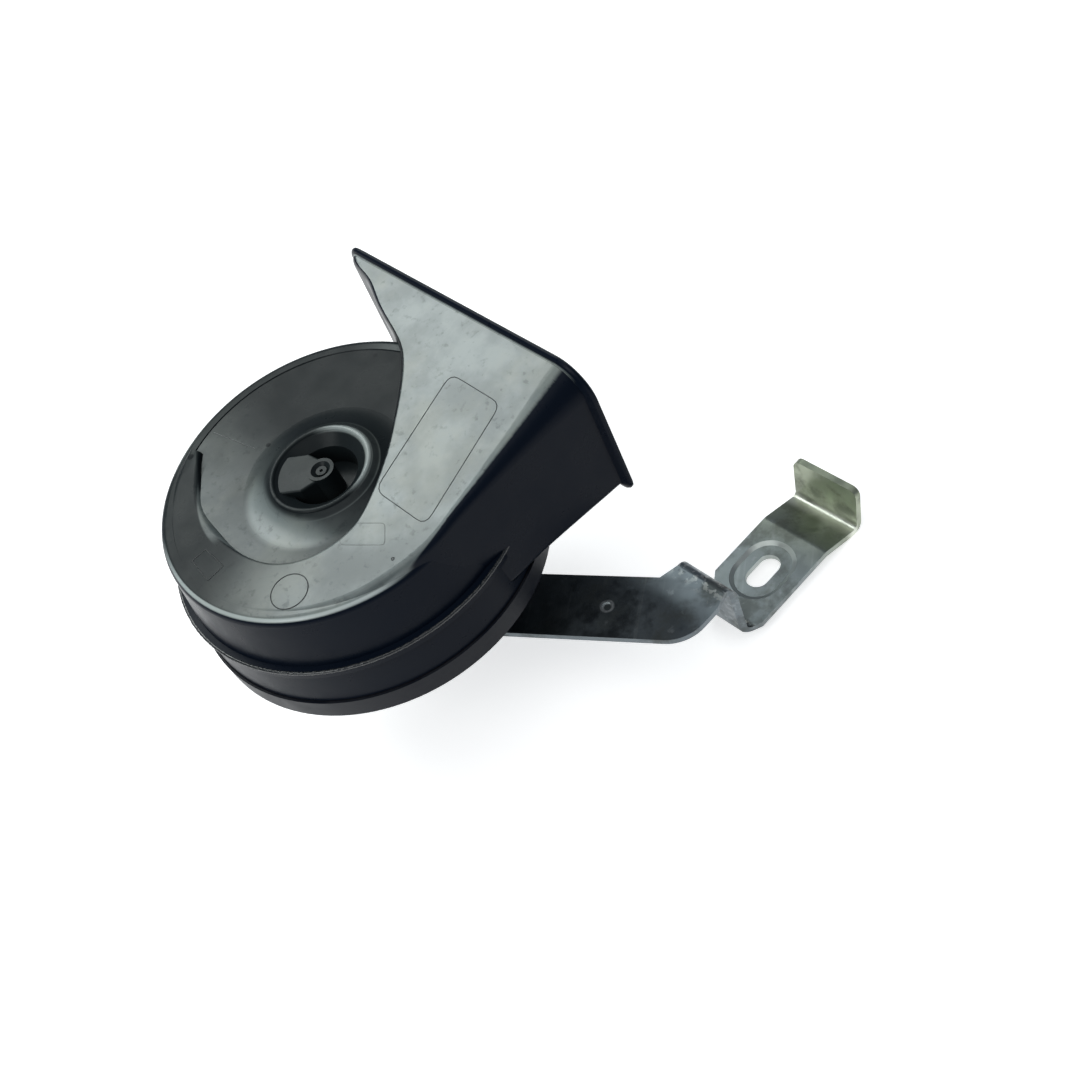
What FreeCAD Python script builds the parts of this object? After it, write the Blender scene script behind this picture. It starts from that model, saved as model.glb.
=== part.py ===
import FreeCAD, Part
import math
import os

import Sketcher
from FreeCAD import Vector

# Electric snail horn for a car: a moulded spiral trumpet on a steel can that holds the magnet,
# with a folded steel bracket clamped on the stud at the back.
# Lengths are millimetres and angles are degrees. The origin is the free end of the stud,
# +Z runs along the horn's axis to the front face, and +X is the way the mouth blows.

# Driving sizes: name, value, what it is
SIZES = (
    ("stud_radius", 4.0, "M8 stud of the pole core"),
    ("stud_tail", 3.0, "thread that stands out of the nut"),
    ("stud_chamfer", 0.8, "bevel at the free end of the stud"),
    ("bolt_clearance", 0.2, "radial room of a hole round its bolt"),
    ("thread_fit", 0.02, "radial room between two threads"),
    ("slip_fit", 0.1, "radial room between parts that slide together"),
    ("nut_height", 6.5, "nut on the stud"),
    ("nut_flats", 13.0, "width across the flats of the nut"),
    ("washer_height", 2.0, "split lock washer"),
    ("washer_radius", 7.4, "outside of the lock washer"),
    ("washer_gap", 1.6, "slot in the lock washer"),
    ("strip_thickness", 2.0, "steel strip of the bracket"),
    ("arm_width", 20.0, "width of the bracket arm"),
    ("arm_angle", 58.2, "turn of the arm from the mouth direction"),
    ("plate_offset", 68.4, "distance of the plate's middle line beside the axis"),
    ("elbow_radius", 12.0, "outer corner where the arm turns"),
    ("crest_x", 57.2, "outside of the fold where the strip drops"),
    ("flange_drop", 21.4, "step from the arm down to the plate"),
    ("neck_width", 17.0, "narrow part of the strip at the fold"),
    ("neck_end_x", 67.0, "where the plate reaches its full width"),
    ("plate_width", 22.8, "width of the slotted plate"),
    ("tail_start_x", 89.8, "where the plate turns down"),
    ("tail_run", 13.6, "level length of the sloping tail"),
    ("tail_drop", 4.1, "fall of the sloping tail"),
    ("tab_height", 14.6, "upturned end tab"),
    ("tab_lean", 1.9, "how far the end tab leans outwards"),
    ("tab_corner", 2.6, "rounded upper corners of the end tab"),
    ("fold_radius", 1.4, "inside radius of each fold"),
    ("slot_x", 75.0, "middle of the mounting slot"),
    ("slot_width", 7.0, "mounting slot for a 6 mm bolt"),
    ("slot_length", 12.0, "mounting slot, end to end"),
    ("pad_width", 16.4, "coined oval round the slot"),
    ("pad_length", 21.4, "coined oval, end to end"),
    ("pad_depth", 0.7, "how far the oval is pushed to the back"),
    ("pad_slope", 62.0, "lean of the oval's wall from upright"),
    ("pip_reach", 61.6, "locating dimple, from the axis along the arm"),
    ("pip_radius", 1.5, "locating dimple"),
    ("pip_depth", 0.6, "depth of the locating dimple"),
    ("can_radius", 31.0, "drawn steel can"),
    ("can_depth", 23.2, "from the can's floor to its flange, outside"),
    ("can_wall", 1.5, "sheet of the can"),
    ("can_corner", 2.5, "bevelled corner at the can's floor"),
    ("can_corner_inside", 1.5, "the same corner inside the can"),
    ("can_flange_room", 0.8, "room round the can's flange in the clamp ring"),
    ("gasket_rear", 0.7, "seal between flange and diaphragm"),
    ("gasket_front", 0.9, "seal between diaphragm and trumpet"),
    ("gasket_width", 3.4, "radial width of both seals"),
    ("diaphragm_thickness", 0.3, "spring steel diaphragm"),
    ("diaphragm_sink", 2.0, "how far the middle of the diaphragm lies behind its rim"),
    ("diaphragm_flat", 13.0, "flat middle of the diaphragm, radius"),
    ("diaphragm_shoulder", 0.3, "how far the diaphragm has sunk where it enters the can"),
    ("ring_radius", 50.8, "outside of the clamp ring"),
    ("ring_wall", 1.5, "sheet of the clamp ring"),
    ("ring_lip", 5.6, "how far the ring's lip reaches under the flange"),
    ("ring_corner", 1.2, "bevelled lower corner of the clamp ring"),
    ("spigot_height", 2.8, "collar of the rear shell inside the clamp ring"),
    ("shell_wall", 2.3, "wall of both trumpet shells"),
    ("seam_step", 0.8, "rear shell inside the ring's outside, at the seam"),
    ("rear_taper", 0.8, "how far the rear shell narrows up to the weld flange"),
    ("rear_height", 13.1, "from the seam to the weld plane"),
    ("rear_floor", 4.7, "floor of the rear shell over its lower edge"),
    ("weld_lip", 0.9, "how far the weld flange stands out"),
    ("weld_flange", 1.4, "height of each half of the weld flange"),
    ("throat_radius", 5.5, "sound hole in the middle of the rear shell"),
    ("throat_width", 9.0, "passage from the sound hole to the spiral"),
    ("throat_angle", 142.0, "direction of that passage"),
    ("throat_end", 7.8, "end of that passage inside the edge of the face"),
    ("throat_rise", 5.0, "roof of that passage over the weld plane"),
    ("front_height", 18.5, "from the weld plane to the front face"),
    ("weld_step", 1.7, "front shell inside the weld flange"),
    ("front_taper", 2.1, "how far the front shell narrows up to its rounded edge"),
    ("face_rounding", 2.3, "rounded edge of the front face"),
    ("rim_width", 1.8, "flat rim inside the rounded edge"),
    ("rim_step", 0.25, "fall from the rim into the dish"),
    ("dish_depth", 1.9, "lowest part of the dish under the face"),
    ("dish_radius", 23.0, "where the dish is lowest"),
    ("eye_radius", 14.4, "outside of the bead round the eye"),
    ("eye_rise", 1.6, "bead round the eye over the face"),
    ("eye_bead", 1.7, "width of that bead"),
    ("eye_neck_radius", 9.5, "narrow end of the eye's funnel"),
    ("eye_neck_depth", 1.6, "narrow end of the funnel under the face"),
    ("eye_floor_radius", 9.2, "floor of the eye"),
    ("eye_depth", 7.8, "floor of the eye under the face"),
    ("tongue_width", 12.4, "tongue that runs into the eye from its wall"),
    ("tongue_angle", 131.0, "direction of the tongue"),
    ("tongue_rise", 0.4, "top of the tongue over the face"),
    ("tongue_shoulder", 4.6, "where the tongue starts to narrow, from the axis"),
    ("tongue_edge", 0.6, "rounded edges of the tongue"),
    ("gate_radius", 3.7, "round gate boss at the end of the tongue"),
    ("gate_rim", 1.0, "width of the rim of the gate boss"),
    ("gate_rise", 0.3, "rim of the gate boss over the tongue"),
    ("gate_depth", 1.1, "depth of the cup inside the rim"),
    ("gate_pip_radius", 1.5, "stub of the gate in the cup"),
    ("gate_pin_radius", 0.5, "small hole in the stub"),
    ("spiral_start_angle", 113.0, "where the raised spiral begins"),
    ("spiral_fade_angle", 200.0, "where the raised spiral has its full step to the dish"),
    ("spiral_start_width", 6.8, "spiral at its start, from the edge of the face inwards"),
    ("spiral_neck_width", 16.6, "spiral half a turn before the wall"),
    ("spiral_end_width", 24.6, "spiral where the straight wall starts"),
    ("ramp_start", -42.0, "where the top starts to rise, along X"),
    ("ramp_slope", 0.142, "rise of the top towards the mouth"),
    ("mouth_reach", 4.8, "front of the mouth past the clamp ring"),
    ("mouth_side", 0.7, "left side of the mouth inside the edge of the face"),
    ("wall_inset", 0.1, "straight wall inside the edge of the face"),
    ("wall_spread", 1.0, "how far the straight wall spreads up to the mouth"),
    ("wall_draft", 0.05, "slope of the side walls"),
    ("bell_floor", 45.0, "underside of the bell where it leaves the body"),
    ("bell_floor_x", 26.0, "where the underside starts to fall"),
    ("bell_floor_slope", 0.075, "fall of the underside towards the mouth"),
    ("bell_step_x", 12.0, "where the bell's wall steps down past the weld"),
    ("edge_start", 2.0, "rounding of the wall's top edge on the spiral"),
    ("edge_mouth", 9.5, "rounding of the wall's top edge at the mouth"),
    ("step_edge_start", 3.2, "rounding of the spiral's inner edge at its start"),
    ("step_edge", 0.9, "the same rounding half a turn before the wall"),
    ("step_edge_mouth", 3.4, "rounding of the left top edge at the mouth"),
    ("bell_corner", 2.0, "rounding of the bell's lower corners"),
    ("lip_width", 2.4, "bead round the mouth, along X"),
    ("lip_rise", 1.7, "bead round the mouth, over the wall"),
    ("lip_sink", 0.5, "how far that bead sits lower and further right than the wall"),
    ("shell_gap", 0.15, "room between the bell and the rear shell"),
    ("core_radius", 8.0, "pole core"),
    ("air_gap", 1.0, "from the pole core to the armature"),
    ("armature_height", 5.3, "armature under the diaphragm"),
    ("armature_radius", 11.0, "armature"),
    ("rivet_radius", 3.0, "rivet through armature and diaphragm"),
    ("rivet_head_radius", 4.8, "head of that rivet"),
    ("rivet_head_height", 1.2, "head of that rivet"),
    ("plate_washer_radius", 9.0, "washer on the diaphragm"),
    ("plate_washer_height", 1.2, "washer on the diaphragm"),
    ("bobbin_radius", 20.0, "flanges of the coil former"),
    ("bobbin_hub", 9.3, "hub of the coil former"),
    ("bobbin_flange", 1.2, "thickness of each flange"),
    ("bobbin_height", 14.6, "coil former"),
    ("winding_radius", 19.0, "copper winding"),
    ("arm_coil_gap", 1.0, "from the coil former to the contact arms"),
    ("arm_wall_room", 2.5, "from the contact arms to the can's wall"),
    ("contact_span", 8.0, "contacts and their rivet, each way from the middle"),
    ("arm_leaf_end", 3.0, "contact arms past their contacts and rivet"),
    ("fixed_leaf_z", 28.0, "underside of the fixed contact arm"),
    ("fixed_leaf", 0.8, "thickness of the fixed contact arm"),
    ("moving_leaf", 0.4, "thickness of the moving contact arm"),
    ("contact_height", 0.8, "height of each contact"),
    ("contact_radius", 2.0, "each contact"),
    ("finger_reach", 9.5, "tip of the moving arm's finger beside the axis"),
    ("finger_width", 5.0, "finger under the armature"),
    ("spacer_radius", 2.5, "insulators on the contact rivet"),
    ("pillar_radius", 1.4, "contact rivet"),
    ("pillar_head", 2.6, "heads of the contact rivet"),
    ("pillar_head_height", 1.0, "heads of the contact rivet"),
    ("top_insulator", 1.0, "insulator over the moving arm"),
    ("adjuster_radius", 2.0, "M4 adjusting screw"),
    ("adjuster_head_radius", 3.5, "head of the adjusting screw"),
    ("adjuster_head_height", 2.2, "head of the adjusting screw"),
    ("terminal_coil_gap", 0.9, "from the coil former to the neck of the terminal block"),
    ("terminal_block_length", 25.0, "terminal block"),
    ("terminal_block_width", 7.4, "terminal block"),
    ("terminal_block_height", 5.0, "terminal block under the can"),
    ("terminal_neck_length", 17.4, "neck of the block through the can"),
    ("terminal_neck_width", 3.4, "neck of the block through the can"),
    ("terminal_inner_height", 2.0, "neck of the block inside the can"),
    ("blade_width", 6.3, "spade terminal"),
    ("blade_thickness", 0.8, "spade terminal"),
    ("blade_spacing", 9.0, "middle to middle of the blades"),
    ("blade_length", 8.0, "blade outside the block"),
    ("blade_inside", 3.0, "blade over the block inside the can"),
    ("blade_hole_radius", 0.9, "locking hole in the blade"),
    ("terminal_rivet_spacing", 21.0, "middle to middle of the block's rivets"),
    ("terminal_rivet_radius", 1.2, "rivets of the block"),
    ("terminal_rivet_head", 1.7, "heads of those rivets"),
    ("terminal_rivet_height", 0.8, "heads of those rivets"),
)

doc = FreeCAD.newDocument("car_horn")
sheet = doc.addObject("Spreadsheet::Sheet", "sizes")
for row, (alias, value, meaning) in enumerate(SIZES, start=1):
    sheet.set(f"A{row}", meaning)
    sheet.set(f"B{row}", str(value))
    sheet.setAlias(f"B{row}", alias)
doc.recompute()


class Size:
    """A length or number known both by its value and by the formula that gives it."""

    def __init__(self, value, formula):
        self.value = float(value)
        self.formula = formula

    def __add__(self, other):
        other = as_size(other)
        return Size(self.value + other.value, f"({self.formula} + {other.formula})")

    def __sub__(self, other):
        other = as_size(other)
        return Size(self.value - other.value, f"({self.formula} - {other.formula})")

    def __mul__(self, other):
        other = as_size(other)
        return Size(self.value * other.value, f"({self.formula} * {other.formula})")

    def __truediv__(self, other):
        other = as_size(other)
        return Size(self.value / other.value, f"({self.formula} / {other.formula})")

    def __neg__(self):
        return Size(-self.value, f"(0 - {self.formula})")


def as_size(number):
    """Give a plain number the form of a Size."""
    if isinstance(number, Size):
        return number
    return Size(number, f"{number:.9g}")


def cosine(angle):
    return Size(math.cos(math.radians(angle.value)), f"cos({angle.formula} * 1 deg)")


def sine(angle):
    return Size(math.sin(math.radians(angle.value)), f"sin({angle.formula} * 1 deg)")


def sized(alias):
    """Read one cell of the sheet."""
    return Size(sheet.get(alias), f"sizes.{alias}")


def derived(alias, size):
    """Put a worked-out size in the sheet as a formula and give it back under its own name."""
    row = len(SIZES) + 1 + len(derived_names)
    derived_names.append(alias)
    sheet.set(f"B{row}", "=" + size.formula.replace("sizes.", ""))
    sheet.setAlias(f"B{row}", alias)
    return Size(size.value, f"sizes.{alias}")


cell = {alias: sized(alias) for alias, value, meaning in SIZES}
number = {alias: cell[alias].value for alias in cell}
derived_names = []
ZERO = as_size(0)

# Heights of the stack, from the free end of the stud up
nut_bottom = cell["stud_tail"]
washer_bottom = derived("washer_bottom", nut_bottom + cell["nut_height"])
strip_bottom = derived("strip_bottom", washer_bottom + cell["washer_height"])
can_bottom = derived("can_bottom", strip_bottom + cell["strip_thickness"])
can_floor = derived("can_floor", can_bottom + cell["can_wall"])
flange_bottom = derived("flange_bottom", can_bottom + cell["can_depth"])
flange_top = derived("flange_top", flange_bottom + cell["can_wall"])
diaphragm_rim = derived("diaphragm_rim", flange_top + cell["gasket_rear"])
front_gasket_bottom = derived("front_gasket_bottom", diaphragm_rim + cell["diaphragm_thickness"])
spigot_bottom = derived("spigot_bottom", front_gasket_bottom + cell["gasket_front"])
seam_height = derived("seam_height", spigot_bottom + cell["spigot_height"])
weld_plane = derived("weld_plane", seam_height + cell["rear_height"])
face_height = derived("face_height", weld_plane + cell["front_height"])
diaphragm_middle = derived("diaphragm_middle", diaphragm_rim - cell["diaphragm_sink"])
armature_bottom = derived("armature_bottom", diaphragm_middle - cell["armature_height"])
core_top = derived("core_top", armature_bottom - cell["air_gap"])
ring_inside = derived("ring_inside", cell["ring_radius"] - cell["ring_wall"])
spigot_radius = derived("spigot_radius", ring_inside - cell["bolt_clearance"])
gasket_inside = derived("gasket_inside", spigot_radius - cell["gasket_width"])
can_flange = derived("can_flange", ring_inside - cell["can_flange_room"])
rear_radius = derived("rear_radius", cell["ring_radius"] - cell["seam_step"])
rear_top_radius = derived("rear_top_radius", rear_radius - cell["rear_taper"])
weld_radius = derived("weld_radius", rear_top_radius + cell["weld_lip"])
front_radius = derived("front_radius", weld_radius - cell["weld_step"])
face_radius = derived("face_radius", front_radius - cell["front_taper"])
wall_offset = derived("wall_offset", face_radius - cell["wall_inset"])
mouth_x = derived("mouth_x", cell["ring_radius"] + cell["mouth_reach"])
mouth_left = derived("mouth_left", face_radius - cell["mouth_side"])

# The contact arms and the terminals sit in the room between the coil former and the can's wall
can_inside = derived("can_inside", cell["can_radius"] - cell["can_wall"])
leaf_inside = derived("leaf_inside", cell["bobbin_radius"] + cell["arm_coil_gap"])
leaf_outside = derived("leaf_outside", can_inside - cell["arm_wall_room"])
contact_side = derived("contact_side", (leaf_inside + leaf_outside) / 2)
arm_leaf_width = derived("arm_leaf_width", leaf_outside - leaf_inside)
terminal_y = derived("terminal_y", cell["bobbin_radius"] + cell["terminal_coil_gap"]
                     + cell["terminal_neck_width"] / 2)


def origin_plane(body, role):
    """One of the three planes of a body's own origin."""
    for feature in body.Origin.OriginFeatures:
        if feature.Role == role:
            return feature
    raise ValueError(role)


def new_body(name):
    body = doc.addObject("PartDesign::Body", name)
    body.Label = name
    return body


def new_sketch(body, role, offset=ZERO):
    """A sketch on an origin plane, moved along the plane's normal by offset."""
    sketch = body.newObject("Sketcher::SketchObject", f"{body.Name}_sketch")
    sketch.AttachmentSupport = [(origin_plane(body, role), "")]
    sketch.MapMode = "FlatFace"
    sketch.AttachmentOffset = FreeCAD.Placement(Vector(0, 0, offset.value), FreeCAD.Rotation())
    if offset is not ZERO:
        sketch.setExpression("AttachmentOffset.Base.z", offset.formula)
    return sketch


def pin_point(sketch, geometry, corner, across, up):
    """Hold one point of a sketch at sizes measured from the sketch's origin."""
    for kind, size, axis in (("DistanceX", across, -2), ("DistanceY", up, -1)):
        if abs(size.value) < 1e-9:
            sketch.addConstraint(Sketcher.Constraint("PointOnObject", geometry, corner, axis))
            continue
        index = sketch.addConstraint(
            Sketcher.Constraint(kind, -1, 1, geometry, corner, size.value))
        sketch.setExpression(f"Constraints[{index}]", size.formula)


def draw_polygon(sketch, corners):
    """Closed outline of straight lines whose corners are held by sizes."""
    corners = [(as_size(across), as_size(up)) for across, up in corners]
    count = len(corners)
    first = len(sketch.Geometry)
    for index, (across, up) in enumerate(corners):
        next_across, next_up = corners[(index + 1) % count]
        start = Vector(across.value, up.value, 0)
        end = Vector(next_across.value, next_up.value, 0)
        sketch.addGeometry(Part.LineSegment(start, end), False)
    for index, (across, up) in enumerate(corners):
        after = first + (index + 1) % count
        sketch.addConstraint(Sketcher.Constraint("Coincident", first + index, 2, after, 1))
        pin_point(sketch, first + index, 1, across, up)


def draw_circle(sketch, across, up, radius):
    """Circle whose centre and radius are held by sizes."""
    across, up = as_size(across), as_size(up)
    middle = Vector(across.value, up.value, 0)
    circle = sketch.addGeometry(Part.Circle(middle, Vector(0, 0, 1), radius.value), False)
    pin_point(sketch, circle, 3, across, up)
    index = sketch.addConstraint(Sketcher.Constraint("Radius", circle, radius.value))
    sketch.setExpression(f"Constraints[{index}]", radius.formula)


def draw_slot(sketch, across, up, length, width):
    """Round-ended slot along the sketch's first direction."""
    radius = width / 2
    reach = length / 2 - radius
    left, right = across - reach, across + reach
    low, high = up - radius, up + radius
    line_low = sketch.addGeometry(Part.LineSegment(
        Vector(left.value, low.value, 0), Vector(right.value, low.value, 0)), False)
    line_high = sketch.addGeometry(Part.LineSegment(
        Vector(right.value, high.value, 0), Vector(left.value, high.value, 0)), False)
    end_arc = sketch.addGeometry(Part.ArcOfCircle(
        Part.Circle(Vector(right.value, up.value, 0), Vector(0, 0, 1), radius.value),
        -math.pi / 2, math.pi / 2), False)
    start_arc = sketch.addGeometry(Part.ArcOfCircle(
        Part.Circle(Vector(left.value, up.value, 0), Vector(0, 0, 1), radius.value),
        math.pi / 2, 3 * math.pi / 2), False)
    for first, first_end, second, second_end in (
            (line_low, 2, end_arc, 1), (end_arc, 2, line_high, 1),
            (line_high, 2, start_arc, 1), (start_arc, 2, line_low, 1)):
        sketch.addConstraint(
            Sketcher.Constraint("Coincident", first, first_end, second, second_end))
    pin_point(sketch, line_low, 1, left, low)
    pin_point(sketch, line_low, 2, right, low)
    pin_point(sketch, line_high, 1, right, high)
    pin_point(sketch, line_high, 2, left, high)
    for arc, centre in ((end_arc, right), (start_arc, left)):
        index = sketch.addConstraint(
            Sketcher.Constraint("DistanceX", -1, 1, arc, 3, centre.value))
        sketch.setExpression(f"Constraints[{index}]", centre.formula)


def revolve(body, corners, name="Revolution"):
    """Turn an outline of (radius, height) corners round the Z axis."""
    sketch = new_sketch(body, "XZ_Plane")
    draw_polygon(sketch, corners)
    feature = body.newObject("PartDesign::" + name, f"{body.Name}_{name.lower()}")
    feature.Profile = sketch
    feature.ReferenceAxis = (sketch, ["V_Axis"])
    feature.Angle = 360
    sketch.Visibility = False
    return feature


def pad(body, sketch, length, midplane=False):
    feature = body.newObject("PartDesign::Pad", f"{body.Name}_pad")
    feature.Profile = sketch
    feature.Length = length.value
    feature.setExpression("Length", length.formula)
    feature.Midplane = midplane
    return feature


def pocket(body, sketch, depth, lean=None):
    """Cut a sketch's outline to a depth; lean is the slope of its walls from upright."""
    doc.recompute()
    before = body.Shape.Volume
    feature = body.newObject("PartDesign::Pocket", f"{body.Name}_pocket")
    feature.Profile = sketch
    feature.Length = depth.value
    feature.setExpression("Length", depth.formula)
    if lean is not None:
        feature.TaperAngle = -lean.value
        feature.setExpression("TaperAngle", f"0 - {lean.formula}")
    doc.recompute()
    if body.Shape.Volume > before - 1e-6:
        raise ValueError(f"a pocket of {body.Label} cuts nothing")
    return feature


def ring_profile(inner, outer, low, high):
    return ((inner, low), (outer, low), (outer, high), (inner, high))


def turned_ring(name, inner, outer, low, high):
    """Plain ring of rectangular section."""
    body = new_body(name)
    revolve(body, ring_profile(inner, outer, low, high))
    return body


def upright_pin(name, across, along, steps):
    """Turned pin beside the axis; steps are (radius, bottom, top) and lie end to end."""
    body = new_body(name)
    for radius, low, high in steps:
        sketch = new_sketch(body, "XY_Plane", low)
        draw_circle(sketch, across, along, radius)
        pad(body, sketch, high - low)
    return body


def rectangle(across_low, across_high, up_low, up_high):
    return ((across_low, up_low), (across_high, up_low),
            (across_high, up_high), (across_low, up_high))


# Pole core: the magnet's iron core, turned in one with the stud that carries the horn
def make_pole_core():
    body = new_body("pole_core")
    revolve(body, (
        (0, 0),
        (cell["stud_radius"] - cell["stud_chamfer"], 0),
        (cell["stud_radius"], cell["stud_chamfer"]),
        (cell["stud_radius"], can_floor),
        (cell["core_radius"], can_floor),
        (cell["core_radius"], core_top),
        (0, core_top)))


# Nut and split washer that clamp the bracket against the can
def make_bracket_nut():
    body = new_body("bracket_nut")
    sketch = new_sketch(body, "XY_Plane", nut_bottom)
    half = cell["nut_flats"] / 2
    corner = half / cosine(as_size(30))
    draw_polygon(sketch, [
        (corner * cosine(as_size(60 * turn)), corner * sine(as_size(60 * turn)))
        for turn in range(6)])
    pad(body, sketch, cell["nut_height"])
    hole = new_sketch(body, "XY_Plane", washer_bottom)
    draw_circle(hole, 0, 0, cell["stud_radius"] + cell["thread_fit"])
    pocket(body, hole, cell["nut_height"])


def make_lock_washer():
    body = turned_ring(
        "lock_washer", cell["stud_radius"] + cell["bolt_clearance"], cell["washer_radius"],
        washer_bottom, strip_bottom)
    slot = new_sketch(body, "XY_Plane", strip_bottom)
    half = cell["washer_gap"] / 2
    draw_polygon(slot, rectangle(ZERO, cell["washer_radius"] * 2, -half, half))
    pocket(body, slot, cell["washer_height"])


# Drawn can: floor, wall and the flange that carries seals, diaphragm and trumpet
def make_housing_can():
    body = new_body("housing_can")
    inside = can_inside
    revolve(body, (
        (cell["stud_radius"] + cell["slip_fit"], can_bottom),
        (cell["can_radius"] - cell["can_corner"], can_bottom),
        (cell["can_radius"], can_bottom + cell["can_corner"]),
        (cell["can_radius"], flange_bottom),
        (can_flange, flange_bottom),
        (can_flange, flange_top),
        (inside, flange_top),
        (inside, can_floor + cell["can_corner_inside"]),
        (inside - cell["can_corner_inside"], can_floor),
        (cell["stud_radius"] + cell["slip_fit"], can_floor)))
    holes = new_sketch(body, "XY_Plane", can_floor)
    draw_circle(holes, -contact_side, cell["contact_span"],
                cell["adjuster_radius"] + cell["thread_fit"])
    draw_circle(holes, -contact_side, -cell["contact_span"],
                cell["pillar_radius"] + cell["slip_fit"])
    half_length = cell["terminal_neck_length"] / 2 + cell["slip_fit"]
    half_width = cell["terminal_neck_width"] / 2 + cell["slip_fit"]
    draw_polygon(holes, rectangle(
        -half_length, half_length,
        terminal_y - half_width, terminal_y + half_width))
    for side in (-1, 1):
        draw_circle(holes, cell["terminal_rivet_spacing"] / 2 * side, terminal_y,
                    cell["terminal_rivet_radius"] + cell["slip_fit"])
    pocket(body, holes, cell["can_wall"])


# Clamp ring: its lip holds the can's flange up against the trumpet's collar
def make_clamp_ring():
    body = new_body("base_clamp_ring")
    lip_bottom = flange_bottom - cell["ring_wall"]
    revolve(body, (
        (cell["ring_radius"] - cell["ring_lip"], lip_bottom),
        (cell["ring_radius"] - cell["ring_corner"], lip_bottom),
        (cell["ring_radius"], lip_bottom + cell["ring_corner"]),
        (cell["ring_radius"], seam_height),
        (ring_inside, seam_height),
        (ring_inside, flange_bottom),
        (cell["ring_radius"] - cell["ring_lip"], flange_bottom)))


# Diaphragm: a thin steel dish whose rim is clamped and whose middle carries the armature
def make_diaphragm():
    body = new_body("diaphragm")
    hole = cell["rivet_radius"] + cell["slip_fit"]
    shoulder_radius = can_inside - cell["slip_fit"]
    shoulder = diaphragm_rim - cell["diaphragm_shoulder"]
    revolve(body, (
        (hole, diaphragm_middle),
        (cell["diaphragm_flat"], diaphragm_middle),
        (shoulder_radius, shoulder),
        (gasket_inside, diaphragm_rim),
        (spigot_radius, diaphragm_rim),
        (spigot_radius, front_gasket_bottom),
        (gasket_inside, front_gasket_bottom),
        (shoulder_radius, shoulder + cell["diaphragm_thickness"]),
        (cell["diaphragm_flat"], diaphragm_middle + cell["diaphragm_thickness"]),
        (hole, diaphragm_middle + cell["diaphragm_thickness"])))


# Armature, its rivet and its washer move together on the middle of the diaphragm
def make_armature_parts():
    armature = new_body("armature")
    hole = cell["rivet_radius"] + cell["thread_fit"]
    head = cell["rivet_head_radius"] + cell["thread_fit"]
    head_top = armature_bottom + cell["rivet_head_height"]
    revolve(armature, (
        (head, armature_bottom), (cell["armature_radius"], armature_bottom),
        (cell["armature_radius"], diaphragm_middle), (hole, diaphragm_middle),
        (hole, head_top), (head, head_top)))
    washer_low = diaphragm_middle + cell["diaphragm_thickness"]
    washer_top = washer_low + cell["plate_washer_height"]
    turned_ring("armature_washer", hole, cell["plate_washer_radius"], washer_low, washer_top)
    rivet = new_body("armature_rivet")
    rivet_top = washer_top + cell["rivet_head_height"]
    revolve(rivet, (
        (0, armature_bottom), (cell["rivet_head_radius"], armature_bottom),
        (cell["rivet_head_radius"], head_top), (cell["rivet_radius"], head_top),
        (cell["rivet_radius"], washer_top), (cell["rivet_head_radius"], washer_top),
        (cell["rivet_head_radius"] - cell["rivet_head_height"] / 2, rivet_top),
        (0, rivet_top)))


# Coil: a moulded former round the pole core, filled with copper winding
def make_coil():
    bobbin = new_body("coil_bobbin")
    bore = cell["core_radius"] + cell["slip_fit"]
    top = can_floor + cell["bobbin_height"]
    winding_low = can_floor + cell["bobbin_flange"]
    winding_high = top - cell["bobbin_flange"]
    revolve(bobbin, (
        (bore, can_floor), (cell["bobbin_radius"], can_floor),
        (cell["bobbin_radius"], winding_low), (cell["bobbin_hub"], winding_low),
        (cell["bobbin_hub"], winding_high), (cell["bobbin_radius"], winding_high),
        (cell["bobbin_radius"], top), (bore, top)))
    turned_ring("coil_winding", cell["bobbin_hub"], cell["winding_radius"],
                winding_low, winding_high)


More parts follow.
